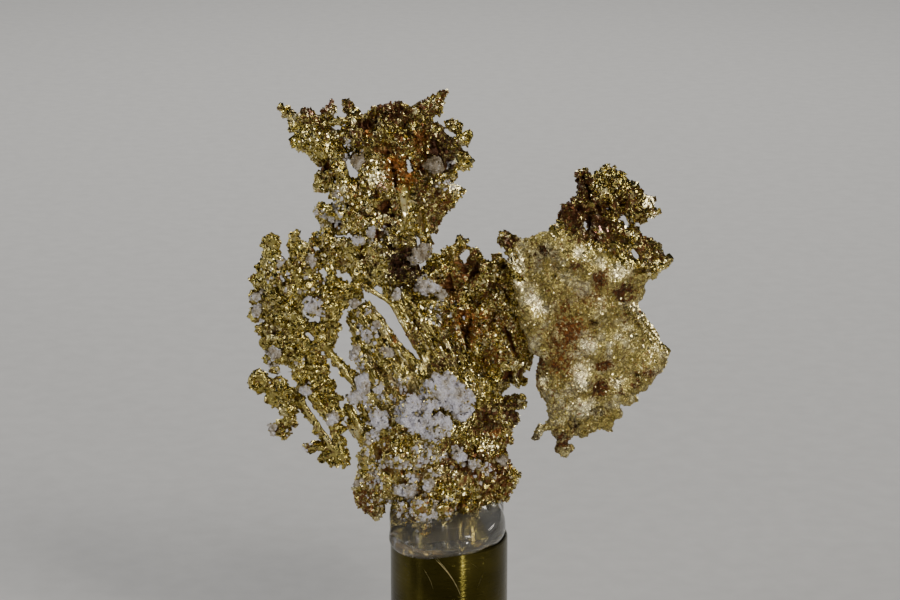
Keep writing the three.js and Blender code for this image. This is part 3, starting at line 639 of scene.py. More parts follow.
def native_gold():
    """Crystallised gold: bright, slightly silvery metal, with iron rust in its pits and on its flats,
    painted shade in its deepest pits, and painted highlights where it flashes.
    """
    m, place = blank("native_gold_with_iron_stain")
    iron, shade, hollow, tint, satin, soft, grit = (
        add(m, "Attribute", out="Fac", attribute_name=name)
        for name in ("iron", "shade", "hollow", "tint", "satin", "soft", "grit")
    )

    # Rust sits in grains of about 0.2 mm inside clouds of about 2 mm, and the deepest pits are darkened
    # with dirt and painted shade.
    grainy = {"Vector": place, "Scale": per_mm(0.38), "Detail": 5.0, "Roughness": 0.75}
    grains = add(m, "TexNoise", grainy)
    clouds = add(m, "TexNoise", {"Vector": place, "Scale": per_mm(2.2), "Detail": 3.0})
    broken = add(m, "Math", {0: grains, 1: 0.5}, operation="SUBTRACT")
    cloudy = add(m, "Math", {0: clouds, 1: 0.5}, operation="SUBTRACT")
    uneven = add(m, "Math", {0: broken, 1: 4.8, 2: iron}, operation="MULTIPLY_ADD")
    total = add(m, "Math", {0: cloudy, 1: 1.4, 2: uneven}, operation="MULTIPLY_ADD")
    widest = add(m, "Math", {0: satin, 1: 0.16, 2: 0.76}, operation="MULTIPLY_ADD")
    spread = {"Value": total, "From Min": 0.36, "From Max": widest}
    film = add(m, "MapRange", spread, interpolation_type="SMOOTHSTEP")
    sunk = {"Value": hollow, "From Min": 0.2, "From Max": 0.75}
    dirt = add(m, "MapRange", sunk, interpolation_type="SMOOTHSTEP")

    # The beaten sheet is crazed into scales about 0.6 mm across, with dirt in the hairlines between them.
    wander = {0: grains.node.outputs["Color"], 1: (0.9 * MM,) * 3, 2: place}
    bent = add(m, "VectorMath", wander, operation="MULTIPLY_ADD")
    scales = add(m, "TexVoronoi", {"Vector": bent, "Scale": per_mm(0.6)}, feature="DISTANCE_TO_EDGE")
    hairline = {"Value": scales, "From Min": 0.02, "From Max": 0.15, "To Min": 1.0, "To Max": 0.0}
    crack = add(m, "Math", {0: add(m, "MapRange", hairline), 1: satin}, operation="MULTIPLY")
    deep = add(m, "Math", {0: crack, 1: 0.75, 2: dirt}, operation="MULTIPLY_ADD")
    rust = add(m, "Math", {0: film, 1: deep}, operation="MAXIMUM", use_clamp=True)

    # Old rust is umber, and fresh rust orange. Clean gold runs from olive to silvery, and blushes pink. Its
    # palest, silvery tint is also a painted highlight where the metal flashes.
    warm = add(m, "Math", {0: grains, 1: 1.4, 2: shade}, operation="MULTIPLY_ADD")
    level = add(m, "Math", {0: crack, 1: -0.35, 2: -0.06}, operation="MULTIPLY_ADD")
    warmth = add(m, "Math", {0: warm, 1: 0.6, 2: level}, operation="MULTIPLY_ADD")
    browns = [(0.35, "#2A180B"), (0.6, "#573419"), (0.9, "#865224"), (1.0, "#AE6E2C")]
    stain = add(m, "ValToRGB", {"Fac": warmth}, stops=browns)
    golds = [(0.0, "#A89A50"), (0.45, "#CBBA70"), (0.8, "#EBE0B0"), (1.0, "#DFA596")]
    metal = add(m, "ValToRGB", {"Fac": tint}, stops=golds)
    stained = {"Factor": rust, "A_Color": metal, "B_Color": stain}

    # Clean crystal faces are nearly mirrors, the beaten sheet is satin, and rust is duller.
    fine = add(m, "TexNoise", {"Vector": place, "Scale": per_mm(0.16), "Detail": 2.0})
    polish = add(m, "Math", {0: fine, 1: grit}, operation="MULTIPLY")
    clean = add(m, "MapRange", {"Value": polish, "To Min": 0.07, "To Max": 0.36})
    worn = add(m, "Math", {0: soft, 1: 0.3, 2: clean}, operation="MULTIPLY_ADD")
    # The sheet's scales are pitted like orange peel, about 0.3 mm apart.
    peel = add(m, "TexVoronoi", {"Vector": bent, "Scale": per_mm(0.3)})
    dent = add(m, "Math", {0: peel, 1: satin, 2: fine}, operation="MULTIPLY_ADD")
    surface = {
        "Base Color": add(m, "Mix", stained, out="Result_Color", data_type="RGBA"),
        "Metallic": add(m, "MapRange", {"Value": rust, "To Min": 1.0, "To Max": 0.7}),
        "Roughness": add(m, "Math", {0: rust, 1: 0.25, 2: worn}, operation="MULTIPLY_ADD"),
        "Normal": add(m, "Bump", {"Height": dent, "Strength": grit, "Distance": 0.09 * MM}),
    }
    return finished(m, surface)


def vein_quartz():
    """Sugary vein quartz: small interlocked grains, which scatter light and look like packed snow."""
    m, place = blank("sugary_vein_quartz")
    grey = add(m, "Attribute", out="Fac", attribute_name="grey")
    # Interlocked grains are about 0.25 mm across, in clouds of about 1.4 mm.
    grains = add(m, "TexVoronoi", {"Vector": place, "Scale": per_mm(0.25)})
    clouds = add(m, "TexNoise", {"Vector": place, "Scale": per_mm(1.4), "Detail": 3.0})
    # More grey turns the quartz to a warm brown-grey: painted shade, warmed as a painted reflection of the
    # gold round it.
    mixed = add(m, "Math", {0: clouds, 1: grey}, operation="SUBTRACT")
    whites = [(0.08, "#86765A"), (0.32, "#C9BFB0"), (0.46, "#E0DCDF"), (0.64, "#E9E5EE")]
    surface = {
        "Base Color": add(m, "ValToRGB", {"Fac": mixed}, stops=whites),
        "Roughness": 0.45,
        "IOR": 1.54,
        "Subsurface Weight": 0.3,
        "Subsurface Radius": (0.5, 0.5, 0.5),
        "Subsurface Scale": 0.4 * MM,
        "Normal": add(m, "Bump", {"Height": grains, "Strength": 0.7, "Distance": 0.09 * MM}),
    }
    return finished(m, surface)


def clear_putty():
    """Mineral putty: a soft clear gel, slightly milky, with a wet gloss."""
    m, place = blank("clear_mineral_putty")
    # Handling leaves soft waves about 2 mm apart.
    waves = add(m, "TexNoise", {"Vector": place, "Scale": per_mm(2.0), "Detail": 1.0})
    surface = {
        "Base Color": linear("#F4F2EA"),
        "Transmission Weight": 0.93,
        "IOR": 1.42,
        "Roughness": add(m, "MapRange", {"Value": waves, "To Min": 0.06, "To Max": 0.16}),
        "Normal": add(m, "Bump", {"Height": waves, "Strength": 0.25, "Distance": 0.1 * MM}),
    }
    return finished(m, surface)


def brass_bar():
    """Turned brass bar, tarnished: dark olive gold, with tool rings that draw each light into a streak."""
    m, place = blank("turned_brass_bar")
    # Turning leaves rings about 0.1 mm apart. Tarnish clouds are about 5 mm across, and pits 0.1 mm.
    flat = add(m, "Mapping", {"Vector": place, "Scale": (0.02, 0.02, 1.0)})
    rings = add(m, "TexNoise", {"Vector": flat, "Scale": per_mm(0.1), "Detail": 1.0})
    clouds = add(m, "TexNoise", {"Vector": place, "Scale": per_mm(5.0), "Detail": 5.0})
    specks = add(m, "TexNoise", {"Vector": place, "Scale": per_mm(0.35), "Detail": 2.0})
    pits = add(m, "MapRange", {"Value": specks, "From Min": 0.3, "From Max": 0.36})
    tarnish = [(0.3, "#383214"), (0.5, "#484119"), (0.75, "#5E5526")]
    mottled = add(m, "ValToRGB", {"Fac": clouds}, stops=tarnish)
    # The rolled edge under the putty, at the front left, is bright clean brass: partly kept clean by the
    # putty and partly a painted highlight.
    axes = add(m, "SeparateXYZ", {"Vector": place}).node.outputs
    upper, leftward, forward = (
        add(m, "MapRange", {"Value": axes[axis], "From Min": start * MM, "From Max": end * MM})
        for axis, start, end in (("Z", POST_TOP - 0.9, POST_TOP - 0.4), ("X", 0.0, -1.2), ("Y", -2.0, -3.5))
    )
    covered = add(m, "Math", {0: leftward, 1: forward}, operation="MULTIPLY")
    clean = add(m, "Math", {0: upper, 1: covered}, operation="MULTIPLY")
    tarnish_and_painted_highlight = {"Factor": clean, "A_Color": mottled, "B_Color": linear("#D8BC74")}
    worn = add(m, "MapRange", {"Value": clouds, "To Min": 0.18, "To Max": 0.25})
    ringed = add(m, "Bump", {"Height": rings, "Strength": 1.0, "Distance": 0.03 * MM})
    pitted = {"Height": pits, "Strength": 0.5, "Distance": 0.04 * MM, "Normal": ringed}
    surface = {
        "Base Color": add(m, "Mix", tarnish_and_painted_highlight, out="Result_Color", data_type="RGBA"),
        "Metallic": 1.0,
        "Roughness": add(m, "Math", {0: clean, 1: -0.08, 2: worn}, operation="MULTIPLY_ADD"),
        "Anisotropic": 1.0,
        "Anisotropic Rotation": 0.25,
        "Normal": add(m, "Bump", pitted),
        "Tangent": add(m, "Tangent", direction_type="RADIAL", axis="Z"),
    }
    return finished(m, surface)


def scratched_brass():
    """The bright raised burr of a fresh scratch in brass, uneven along its length."""
    m, place = blank("scratched_brass")
    # The burr is torn every 0.3 mm or so.
    torn = add(m, "TexNoise", {"Vector": place, "Scale": per_mm(0.3), "Detail": 2.0})
    surface = {
        "Base Color": add(m, "ValToRGB", {"Fac": torn}, stops=[(0.3, "#A59357"), (0.7, "#E6D9A4")]),
        "Metallic": 1.0,
        "Roughness": 0.4,
        "Normal": add(m, "Bump", {"Height": torn, "Strength": 0.6, "Distance": 0.03 * MM}),
    }
    return finished(m, surface)


def studio_paper():
    """Matt paper sweep: pale, warm grey, with a faint fibre that mottles it every 3 mm or so."""
    m, place = blank("matt_paper_sweep")
    fibre = add(m, "TexNoise", {"Vector": place, "Scale": per_mm(3.0), "Detail": 3.0})
    colour = add(m, "ValToRGB", {"Fac": fibre}, stops=[(0.3, "#C9C7C3"), (0.7, "#CFCDC9")])
    return finished(m, {"Base Color": colour, "Roughness": 0.9})


GOLD = native_gold()
QUARTZ = vein_quartz()
PUTTY = clear_putty()
BRASS = brass_bar()
SCRATCH = scratched_brass()


# ---- Gold ----

# x, height, half width, half height, strength, and 0 for dark umber to 1 for orange.
RUST_SPOTS = [
    # the tall leaf
    (-4.8, 39.4, 2.8, 3.4, 0.5, 0.6), (-4.9, 37.3, 1.9, 2.1, 0.85, 0.95), (-7.9, 41.2, 0.9, 0.8, 0.6, 0.9),
    (-2.8, 40.2, 1.1, 2.2, 0.7, 0.8), (-6.0, 43.4, 6.0, 1.9, 0.8, 0.35), (-7.0, 41.8, 8.5, 2.6, 0.5, 0.35),
    (-4.4, 27.8, 2.1, 2.5, 1.2, 0.1), (-13.4, 43.6, 3.0, 1.6, 0.62, 0.4), (-0.5, 39.8, 2.0, 2.6, 0.7, 0.2),
    (-2.6, 42.8, 2.2, 2.0, 0.75, 0.4), (-7.0, 38.0, 8.0, 8.0, 0.3, 0.55), (-1.8, 35.0, 2.0, 2.6, 0.6, 0.4),
    (-8.6, 38.4, 1.4, 1.2, 0.65, 0.3), (-5.0, 29.4, 2.0, 2.4, 0.6, 0.25),
    # the left leaf, and more on the tall one
    (-14.5, 10.5, 5.0, 4.5, 0.3, 0.35), (-16.0, 20.0, 5.0, 8.0, 0.18, 0.35),
    (-0.5, 34.6, 1.2, 2.2, 0.6, 0.6), (-1.0, 31.5, 1.0, 2.5, 0.6, 0.4), (-0.8, 44.5, 1.2, 1.5, 0.6, 0.6),
    (-1.6, 41.6, 1.6, 1.6, 0.5, 0.3), (-8.0, 28.6, 0.8, 0.7, 0.5, 0.5), (-14.4, 43.6, 1.2, 0.9, 0.5, 0.3),
    # the centre leaf
    (0.5, 25.0, 2.6, 3.6, 0.52, 0.6), (3.5, 26.0, 3.0, 4.0, 0.54, 0.5), (3.0, 21.5, 3.4, 2.6, 0.6, 0.8),
    (1.6, 22.4, 1.4, 1.3, 0.74, 0.95), (6.0, 20.0, 1.6, 2.6, 0.56, 0.7), (4.6, 18.2, 2.0, 1.4, 0.58, 0.7),
    # the trunk
    (-0.3, 18.8, 2.2, 1.8, 0.55, 0.3), (1.0, 7.5, 3.2, 2.4, 0.75, 0.5), (4.6, 5.4, 2.4, 2.6, 0.75, 0.55),
    (-3.2, 21.8, 0.9, 1.6, 0.5, 0.3), (3.6, 11.3, 2.2, 2.6, 0.85, 0.35), (4.6, 10.4, 1.0, 0.8, 0.9, 0.8),
    (5.6, 9.0, 1.8, 4.0, 0.6, 0.5), (-2.0, 5.6, 6.0, 4.6, 0.36, 0.75), (6.2, 12.6, 1.6, 2.2, 0.85, 0.25),
    (-3.6, 20.6, 1.2, 3.0, 0.4, 0.3), (5.0, 12.5, 3.0, 1.5, 0.8, 0.3), (-8.0, 3.0, 1.8, 2.0, 0.65, 0.6),
    (1.5, 5.8, 4.0, 1.6, 0.5, 0.5), (-4.5, 1.8, 2.0, 1.2, 0.5, 0.5), (-5.2, 20.2, 0.5, 0.7, 0.7, 0.9),
    # the sheet
    (11.4, 20.4, 3.0, 4.8, 0.68, 0.75), (12.1, 21.4, 1.9, 1.6, 1.1, 0.85),
    (11.2, 18.2, 1.7, 2.0, 0.95, 0.8), (14.6, 24.6, 3.4, 1.6, 0.52, 0.75), (15.0, 21.0, 7.0, 8.0, 0.2, 0.6),
    (10.4, 27.0, 3.0, 3.0, 0.3, 0.55), (9.3, 29.2, 0.8, 0.7, 0.95, 0.35), (12.5, 27.9, 1.1, 0.6, 1.1, 0.6),
    (15.1, 26.6, 1.2, 1.1, 1.1, 0.6), (17.4, 25.0, 1.4, 1.4, 1.2, 0.5), (11.4, 24.6, 1.6, 0.8, 0.55, 0.7),
    (15.6, 17.5, 1.1, 0.6, 1.2, 0.65), (15.2, 15.1, 1.4, 1.0, 1.2, 0.6), (17.3, 14.6, 0.6, 0.6, 1.2, 0.5),
    (18.8, 15.4, 0.7, 0.6, 1.1, 0.5), (13.2, 13.5, 0.6, 0.5, 1.2, 0.6), (20.4, 16.7, 1.6, 0.6, 1.2, 0.6),
    (9.0, 16.8, 1.1, 3.2, 0.7, 0.5), (11.4, 9.6, 1.1, 1.4, 0.85, 0.5), (14.6, 12.8, 0.9, 0.8, 0.45, 0.2),
    (8.6, 9.8, 0.9, 1.0, 0.6, 0.2),
    # the crest
    (12.4, 33.2, 2.4, 2.4, 0.95, 0.4), (14.0, 33.6, 2.2, 2.6, 0.8, 0.4), (16.0, 31.6, 2.4, 1.4, 0.6, 0.4),
    (16.5, 33.5, 5.5, 5.0, 0.52, 0.4), (14.6, 30.6, 2.4, 1.0, 0.6, 0.4), (19.4, 29.6, 2.4, 2.0, 0.55, 0.4),
    (14.8, 31.8, 1.9, 1.3, 0.45, 0.5), (13.3, 36.4, 1.5, 2.0, 0.9, 0.35), (20.6, 28.8, 1.2, 1.0, 0.6, 0.35),
    (11.0, 30.2, 1.6, 1.0, 0.5, 0.4), (5.7, 30.4, 1.3, 1.3, 0.8, 0.3),
]

# Where the metal blushes pink, as if coppery: x, height, half width, half height, strength.
BLUSH_SPOTS = [
    (14.6, 31.8, 1.5, 1.1, 0.45), (-11.7, 44.2, 0.6, 0.7, 0.5), (-6.6, 35.6, 0.7, 0.5, 0.15),
    (-0.4, 45.8, 0.5, 0.5, 0.4), (5.0, 6.6, 1.2, 1.0, 0.25), (-14.2, 43.4, 1.4, 0.6, 0.3),
]

# Where the crystals' flats lie alike and flash together, given the same way. The metal is painted paler
# there too, as a painted highlight.
BRIGHT_SPOTS = [
    (-7.0, 36.7, 1.1, 1.1, 1.0), (-6.4, 35.6, 0.6, 0.5, 0.6), (-10.3, 35.6, 0.8, 0.8, 0.6),
    (0.6, 35.7, 0.8, 0.5, 0.95), (-3.1, 22.6, 1.2, 1.4, 0.4), (-8.4, 13.9, 0.6, 0.9, 0.6),
    (19.9, 34.3, 0.9, 1.0, 0.85), (20.5, 32.9, 0.7, 0.6, 0.9), (17.4, 31.9, 0.7, 0.5, 0.5),
    (-4.4, 34.2, 0.5, 1.6, 0.3), (-8.8, 33.8, 3.6, 3.4, 0.2), (-13.6, 40.4, 2.0, 1.4, 0.2),
    (5.4, 23.4, 1.4, 3.2, 0.22), (4.0, 9.2, 1.1, 1.2, 0.55), (-11.4, 30.0, 1.6, 2.0, 0.15),
    (4.6, 19.6, 1.4, 1.4, 0.2), (18.6, 23.5, 0.8, 0.7, 1.0), (19.3, 22.5, 0.8, 0.8, 1.0),
    (20.0, 21.5, 0.8, 0.8, 1.0), (20.8, 20.6, 0.8, 0.7, 1.0), (3.4, 10.4, 0.5, 0.5, 0.4),
    (-8.9, 35.3, 1.0, 0.6, 0.4), (-10.8, 41.0, 1.6, 0.6, 0.4), (-11.6, 34.0, 0.8, 0.6, 0.4),
    (-17.9, 27.0, 0.7, 1.6, 0.35), (-9.6, 28.3, 1.6, 0.8, 0.35), (-3.2, 6.0, 4.0, 3.4, 0.26),
    (17.8, 24.7, 0.5, 0.5, 0.7), (15.0, 31.6, 0.8, 0.5, 0.35), (3.2, 6.8, 1.0, 0.8, 0.5),
    (-6.2, 17.8, 0.4, 0.8, 0.4), (11.9, 21.9, 1.0, 0.6, 0.2), (-4.4, 33.8, 0.5, 1.8, 0.8),
    (-11.3, 35.3, 0.9, 0.8, 0.5),
]

# Flat parts of the sheet that face the key light, and how fully they are flat.
SHEET_FACETS = [
    (12.9, 29.0, 1.5, 1.1, 1.0), (16.7, 26.9, 1.5, 1.3, 1.0), (14.8, 27.8, 1.4, 0.9, 0.9),
    (8.5, 23.8, 1.5, 2.1, 1.0), (13.9, 19.5, 1.3, 1.1, 0.75), (13.4, 16.4, 1.2, 1.9, 1.0),
    (13.6, 13.4, 1.1, 1.2, 0.8), (20.4, 18.9, 2.2, 2.6, 0.85), (17.2, 15.4, 1.9, 1.5, 0.7),
    (15.0, 23.8, 1.8, 1.2, 0.55), (9.4, 15.6, 0.8, 0.9, 0.9), (11.0, 29.6, 1.1, 0.9, 0.7),
    (17.4, 20.6, 2.0, 1.6, 0.7), (10.8, 26.0, 1.4, 1.8, 0.3), (6.9, 28.2, 0.6, 1.5, 0.8),
    (7.2, 25.8, 0.6, 1.2, 0.9),
]


# Where the metal flashes. Besides turning its crystals and flats to the key light, this paints the metal
# paler there: a painted highlight.
def glow_at(x, height):
    return patches(x, height, BRIGHT_SPOTS + SHEET_FACETS)


def blush_at(points):
    return patches(*seen_at(points), BLUSH_SPOTS)


def rust_at(points):
    """How much rust there is, and how orange."""
    amount, shade = np.zeros(len(points)), np.full(len(points), 0.4)
    for *spot, warm in RUST_SPOTS:
        here = patches(*seen_at(points), [spot])
        shade = np.where(here > amount, warm, shade)
        amount = np.maximum(amount, here)
    return amount, shade


def stretched(places, along, share):
    """Places squeezed along a direction, so that patterns made on them are long that way."""
    way = np.array(along) / np.linalg.norm(along)
    return places + ((share - 1) * places @ way)[:, None] * way


def ridges(places, size, seed):
    """Sharp crinkles about this far apart: 1 on the crinkles, falling to -1 between them."""
    return 1 - 3 * np.abs(swell(places, size, seed)) ** 0.8


def layered(lift, *layers):
    """A relief of patterns on top of one another. Each has its depth, kind, size and step of the seed."""

    def relief(places, seed):
        return lift + sum(depth * kind(places, size, seed + step) for depth, kind, size, step in layers)

    return relief


# The left leaf has rounded beads with deep joints.
beaded = layered(0.16, (0.5, beads, 1.1, 0), (0.28, beads, 0.55, 4))
# The tall leaf has crumpled plates round open pits.
crinkled = layered(0.06, (0.4, ridges, 1.4, 0), (0.22, ridges, 0.6, 4), (0.3, beads, 0.8, 8))
# The centre leaf is a fine dark lace.
lacy = layered(0.06, (0.45, ridges, 1.5, 0), (0.24, ridges, 0.7, 2), (0.26, beads, 0.6, 4))
# The crest has curls and lumps of about 1.5 mm with deep gaps between.
curled = layered(0.12, (0.42, ridges, 1.7, 0), (0.2, ridges, 0.8, 2), (0.3, beads, 0.9, 4))
# The sheet has shallow dents.
dented = layered(0.02, (0.16, ridges, 0.7, 0), (0.12, beads, 0.45, 2), (0.24, swell, 1.5, 4))


def up_trunk(x, height, low, high):
    """0 low on the trunk and 1 high on it, between two levels that slope as its fork does."""
    return step_up(height - 0.35 * x, low, high)


RIB = (0.5, 0.0, -0.86)  # the way the trunk's ribs run, as x, y, height
BLADE = (0.1, 0, 1)  # the way its blades stand


def ribbed(places, seed):
    """Long ribs high on the trunk and short upright blades low on it."""
    high = up_trunk(places[:, 0], places[:, 2], 13.0, 17.0)
    ribs = beads(stretched(places, RIB, 0.25), 0.85, seed) + 0.5 * beads(places, 0.5, seed + 4)
    blades = beads(stretched(places, BLADE, 0.5), 0.6, seed + 8) + 0.6 * beads(places, 0.9, seed + 12)
    return 0.12 + 0.42 * (high * ribs + (1 - high) * blades)


LEFT_RIM = (5.5, 31.1, 0.0, 6.7, 26.4, 0.0)


def crest(x, height):
    """1 on the spongy crest above the right-hand leaf's fold and on its left rim, 0 on its flat."""
    rim, _ = stroke_distance(x, height, LEFT_RIM)
    return np.maximum(step_up(height - 31.5 + 0.45 * (x - 9), -1.0, 1.5), 1 - step_up(rim, 0.3, 1.0))


def sheet(places, seed):
    """A thin satin sheet with shallow dents and pinholes, under a crest of curls."""
    up = crest(places[:, 0], places[:, 2])
    pinholes = 1.6 * np.maximum(0, beads(places, 0.9, seed + 8) - 0.58)
    return up * curled(places, seed + 20) + (1 - up) * (dented(places, seed) - pinholes)


def nowhere(x, height):
    return np.zeros(np.shape(x))


@dataclass
class Growth:
    """How one leaf of gold looks. Strokes are x, height and half width at each end."""

    seed: int
    relief: object
    broad: float  # how deep its hollows of about 2 mm are
    habits: list
    joins: list = field(default_factory=list)  # strokes along which it spreads to meet its neighbour
    slits: list = field(default_factory=list)  # strokes that are open right through
    grooves: list = field(default_factory=list)  # strokes dug into the front
    rods: list = field(default_factory=list)  # strokes, and how far each is sunk
    bars: list = field(default_factory=list)  # smooth rods, given the same way
    folds: list = field(default_factory=list)  # strokes, and how far each stands forward
    facets: list = field(default_factory=list)  # parts bent flat to face the key light
    buttons: list = field(default_factory=list)  # x, height, radius, how far sunk
    satin: object = nowhere  # share of it that is beaten sheet, at each x, height
    pale: float = 0.8  # how silvery its palest crystals are


def high_on_trunk(x, height):
    return up_trunk(x, height, 12, 16)


def low_on_trunk(x, height):
    return 1 - up_trunk(x, height, 11, 16)


def off_ribs(x, height):
    return 1 - 0.6 * up_trunk(x, height, 14, 17)


def flat(x, height):
    return 1 - crest(x, height)


# The two straight ribs at the sheet's right edge, given like rods.
SHEET_RIBS = [(18.6, 24.0, 0.24, 21.3, 20.3, 0.24, -0.35), (18.0, 23.4, 0.18, 20.6, 19.9, 0.16, -0.3)]


def on_sheet_ribs(x, height):
    nearest = np.minimum(*[stroke_distance(x, height, rib[:-1])[0] for rib in SHEET_RIBS])
    return 1 - step_up(nearest, 0.12, 0.3)


def chain(*points):
    """The strokes that join points of x, height and half width, one after another."""
    return [(*start, *end) for start, end in zip(points, points[1:])]


# The long gap between the first two ribs, which the neighbouring leaves keep clear of too.
RIB_GAP = chain((-7.6, 24.7, 0.6), (-6.3, 23.3, 0.72), (-5.0, 21.0, 0.55), (-3.3, 18.3, 0.12))
# Where the centre leaf meets the trunk, and where it meets the right leaf.
TRUNK_JOINS = chain(
    (-4.3, 24.2, 0.7), (-2.1, 21.4, 0.8), (0.8, 18.4, 0.8), (3.8, 15.8, 0.9), (4.8, 14.6, 0.9),
)
SHEET_JOINS = chain((5.6, 30.2, 0.7), (6.7, 25.8, 0.7), (7.6, 21.6, 0.7), (8.2, 19.4, 0.6))

GROWTHS = {}

GROWTHS["gold_trunk"] = Growth(
    seed=11,
    relief=ribbed,
    broad=0.5,
    habits=[
        Habit(5.8, (0.07, 0.24), where=off_ribs),
        Habit(1.8, (0.16, 0.34), (1, 1, 0.4), where=off_ribs),
        Habit(4.4, (0.07, 0.14), (1, 1, 3.0), (0.15, -0.2, 1), 0.2, low_on_trunk),
        Habit(3.8, (0.08, 0.15), (1, 1, 4.4), RIB, 0.09, high_on_trunk),
    ],
    joins=[*TRUNK_JOINS, (-6.4, 25.2, 0.5, -5.0, 25.0, 0.6)],
    slits=[*RIB_GAP, (-9.75, 11.9, 0.1, -8.6, 9.5, 0.1)],
    grooves=[
        (1.8, 18.8, 0.22, 2.9, 16.4, 0.22), (-8.6, 19.6, 0.24, -6.5, 16.0, 0.22),
        (-7.3, 21.4, 0.3, -5.0, 17.8, 0.24), (-9.4, 18.4, 0.22, -7.6, 14.6, 0.2),
        (-3.9, 22.6, 0.24, -1.7, 18.6, 0.2), (-4.4, 24.6, 0.2, -2.9, 22.6, 0.2),
        (-0.6, 21.0, 0.24, 1.0, 17.6, 0.2), (-6.4, 16.6, 0.2, -4.8, 14.4, 0.2),
        (-9.6, 22.6, 0.2, -8.4, 20.4, 0.2), (-2.4, 17.6, 0.2, -1.2, 15.6, 0.16),
    ],
    rods=[
        (-2.8, 2.4, 1.2, -2.4, -0.4, 0.5, -0.9), (-4.6, 2.6, 0.7, -4.8, 0.8, 0.4, -0.8),
        (-0.4, 2.4, 0.8, -0.3, 0.4, 0.45, -1.2), (2.0, 2.6, 0.7, 2.6, 0.9, 0.35, -0.8),
        (-8.3, 25.6, 0.26, -5.7, 23.9, 0.24, 0.1), (-5.7, 23.9, 0.26, -3.3, 19.2, 0.24, -0.1),
        (-7.9, 23.2, 0.32, -4.7, 18.4, 0.26, -0.2), (-8.6, 21.4, 0.24, -6.0, 16.8, 0.22, -0.2),
        (-9.4, 19.8, 0.24, -7.4, 15.4, 0.22, -0.15), (-5.0, 23.8, 0.2, -2.2, 19.2, 0.2, -0.2),
        (-4.4, 24.8, 0.22, -1.2, 20.4, 0.18, -0.2), (-6.4, 21.0, 0.14, -6.9, 20.2, 0.12, -0.3),
        (-1.6, 22.4, 0.2, 0.6, 18.4, 0.16, -0.15), (-8.2, 17.6, 0.2, -6.0, 13.6, 0.18, -0.15),
    ],
    bars=[(-10.3, 13.2, 0.38, -8.0, 8.8, 0.34, -0.15), (-10.0, 11.3, 0.32, -8.1, 8.1, 0.3, -0.1)],
)

GROWTHS["gold_left_leaf"] = Growth(
    seed=23,
    relief=beaded,
    broad=0.35,
    habits=[Habit(8.5, (0.07, 0.22)), Habit(2.4, (0.16, 0.36), (1, 1, 0.4))],
    joins=[
        (-13.4, 17.2, 0.9, -12.6, 15.4, 0.9), (-13.6, 28.2, 0.6, -12.6, 27.8, 0.5),
        (-11.7, 27.2, 0.4, -11.6, 26.4, 0.4), (-9.3, 26.8, 0.5, -9.1, 25.9, 0.5),
    ],
    slits=[
        (-17.3, 27.6, 0.12, -16.6, 26.2, 0.22), (-14.2, 20.7, 0.2, -13.7, 20.2, 0.2),
        (-14.3, 23.0, 0.5, -13.4, 22.4, 0.45),
        *chain((-14.3, 13.5, 0.22), (-12.5, 11.1, 0.3), (-11.8, 9.4, 0.12)),
        (-12.8, 27.2, 0.15, -12.3, 27.1, 0.15), (-11.0, 26.9, 0.2, -10.0, 26.5, 0.16),
        (-18.6, 17.4, 0.2, -16.0, 16.9, 0.3), *RIB_GAP,
    ],
    rods=[
        (-16.4, 24.4, 0.3, -17.8, 28.4, 0.3, 0.1), (-13.3, 13.8, 0.42, -11.7, 11.1, 0.42, 0.1),
        (-11.7, 11.1, 0.42, -11.0, 8.8, 0.5, 0.1), (-11.0, 8.3, 0.8, -10.9, 7.9, 0.8, 0.3),
        (-12.4, 12.9, 0.3, -10.8, 12.4, 0.34, 0.2), (-12.0, 14.4, 0.3, -11.0, 14.1, 0.34, 0.2),
        (-11.6, 11.2, 0.3, -10.6, 10.8, 0.34, 0.2),
    ],
    bars=[
        (-12.5, 19.6, 0.4, -8.7, 14.2, 0.34, 0.1), (-14.9, 13.7, 0.36, -11.6, 8.6, 0.32, -0.1),
        (-14.3, 9.0, 0.38, -12.2, 8.7, 0.3, 0.1), (-13.0, 7.7, 0.3, -11.6, 8.2, 0.3, 0.1),
    ],
    buttons=[
        (-19.3, 15.7, 1.05, 0.2), (-19.4, 24.6, 0.75, 0.3), (-19.6, 22.7, 0.65, 0.4),
        (-18.6, 19.8, 0.6, 0.3), (-18.3, 28.0, 0.6, 0.3), (-17.3, 29.9, 0.5, 0.3), (-18.2, 18.0, 0.55, 0.3),
        (-15.4, 29.9, 0.6, 0.3), (-11.3, 22.8, 0.55, 0.2), (-17.7, 10.6, 0.5, 0.3),
        (-19.5, 26.4, 0.55, 0.4), (-17.8, 13.9, 0.7, 0.2), (-17.0, 15.6, 0.6, 0.3),
        (-16.5, 12.6, 0.55, 0.2), (-18.9, 21.2, 0.55, 0.3), (-17.6, 17.0, 0.5, 0.3),
        (-16.2, 14.4, 0.6, 0.2),
    ],
    pale=0.6,
)

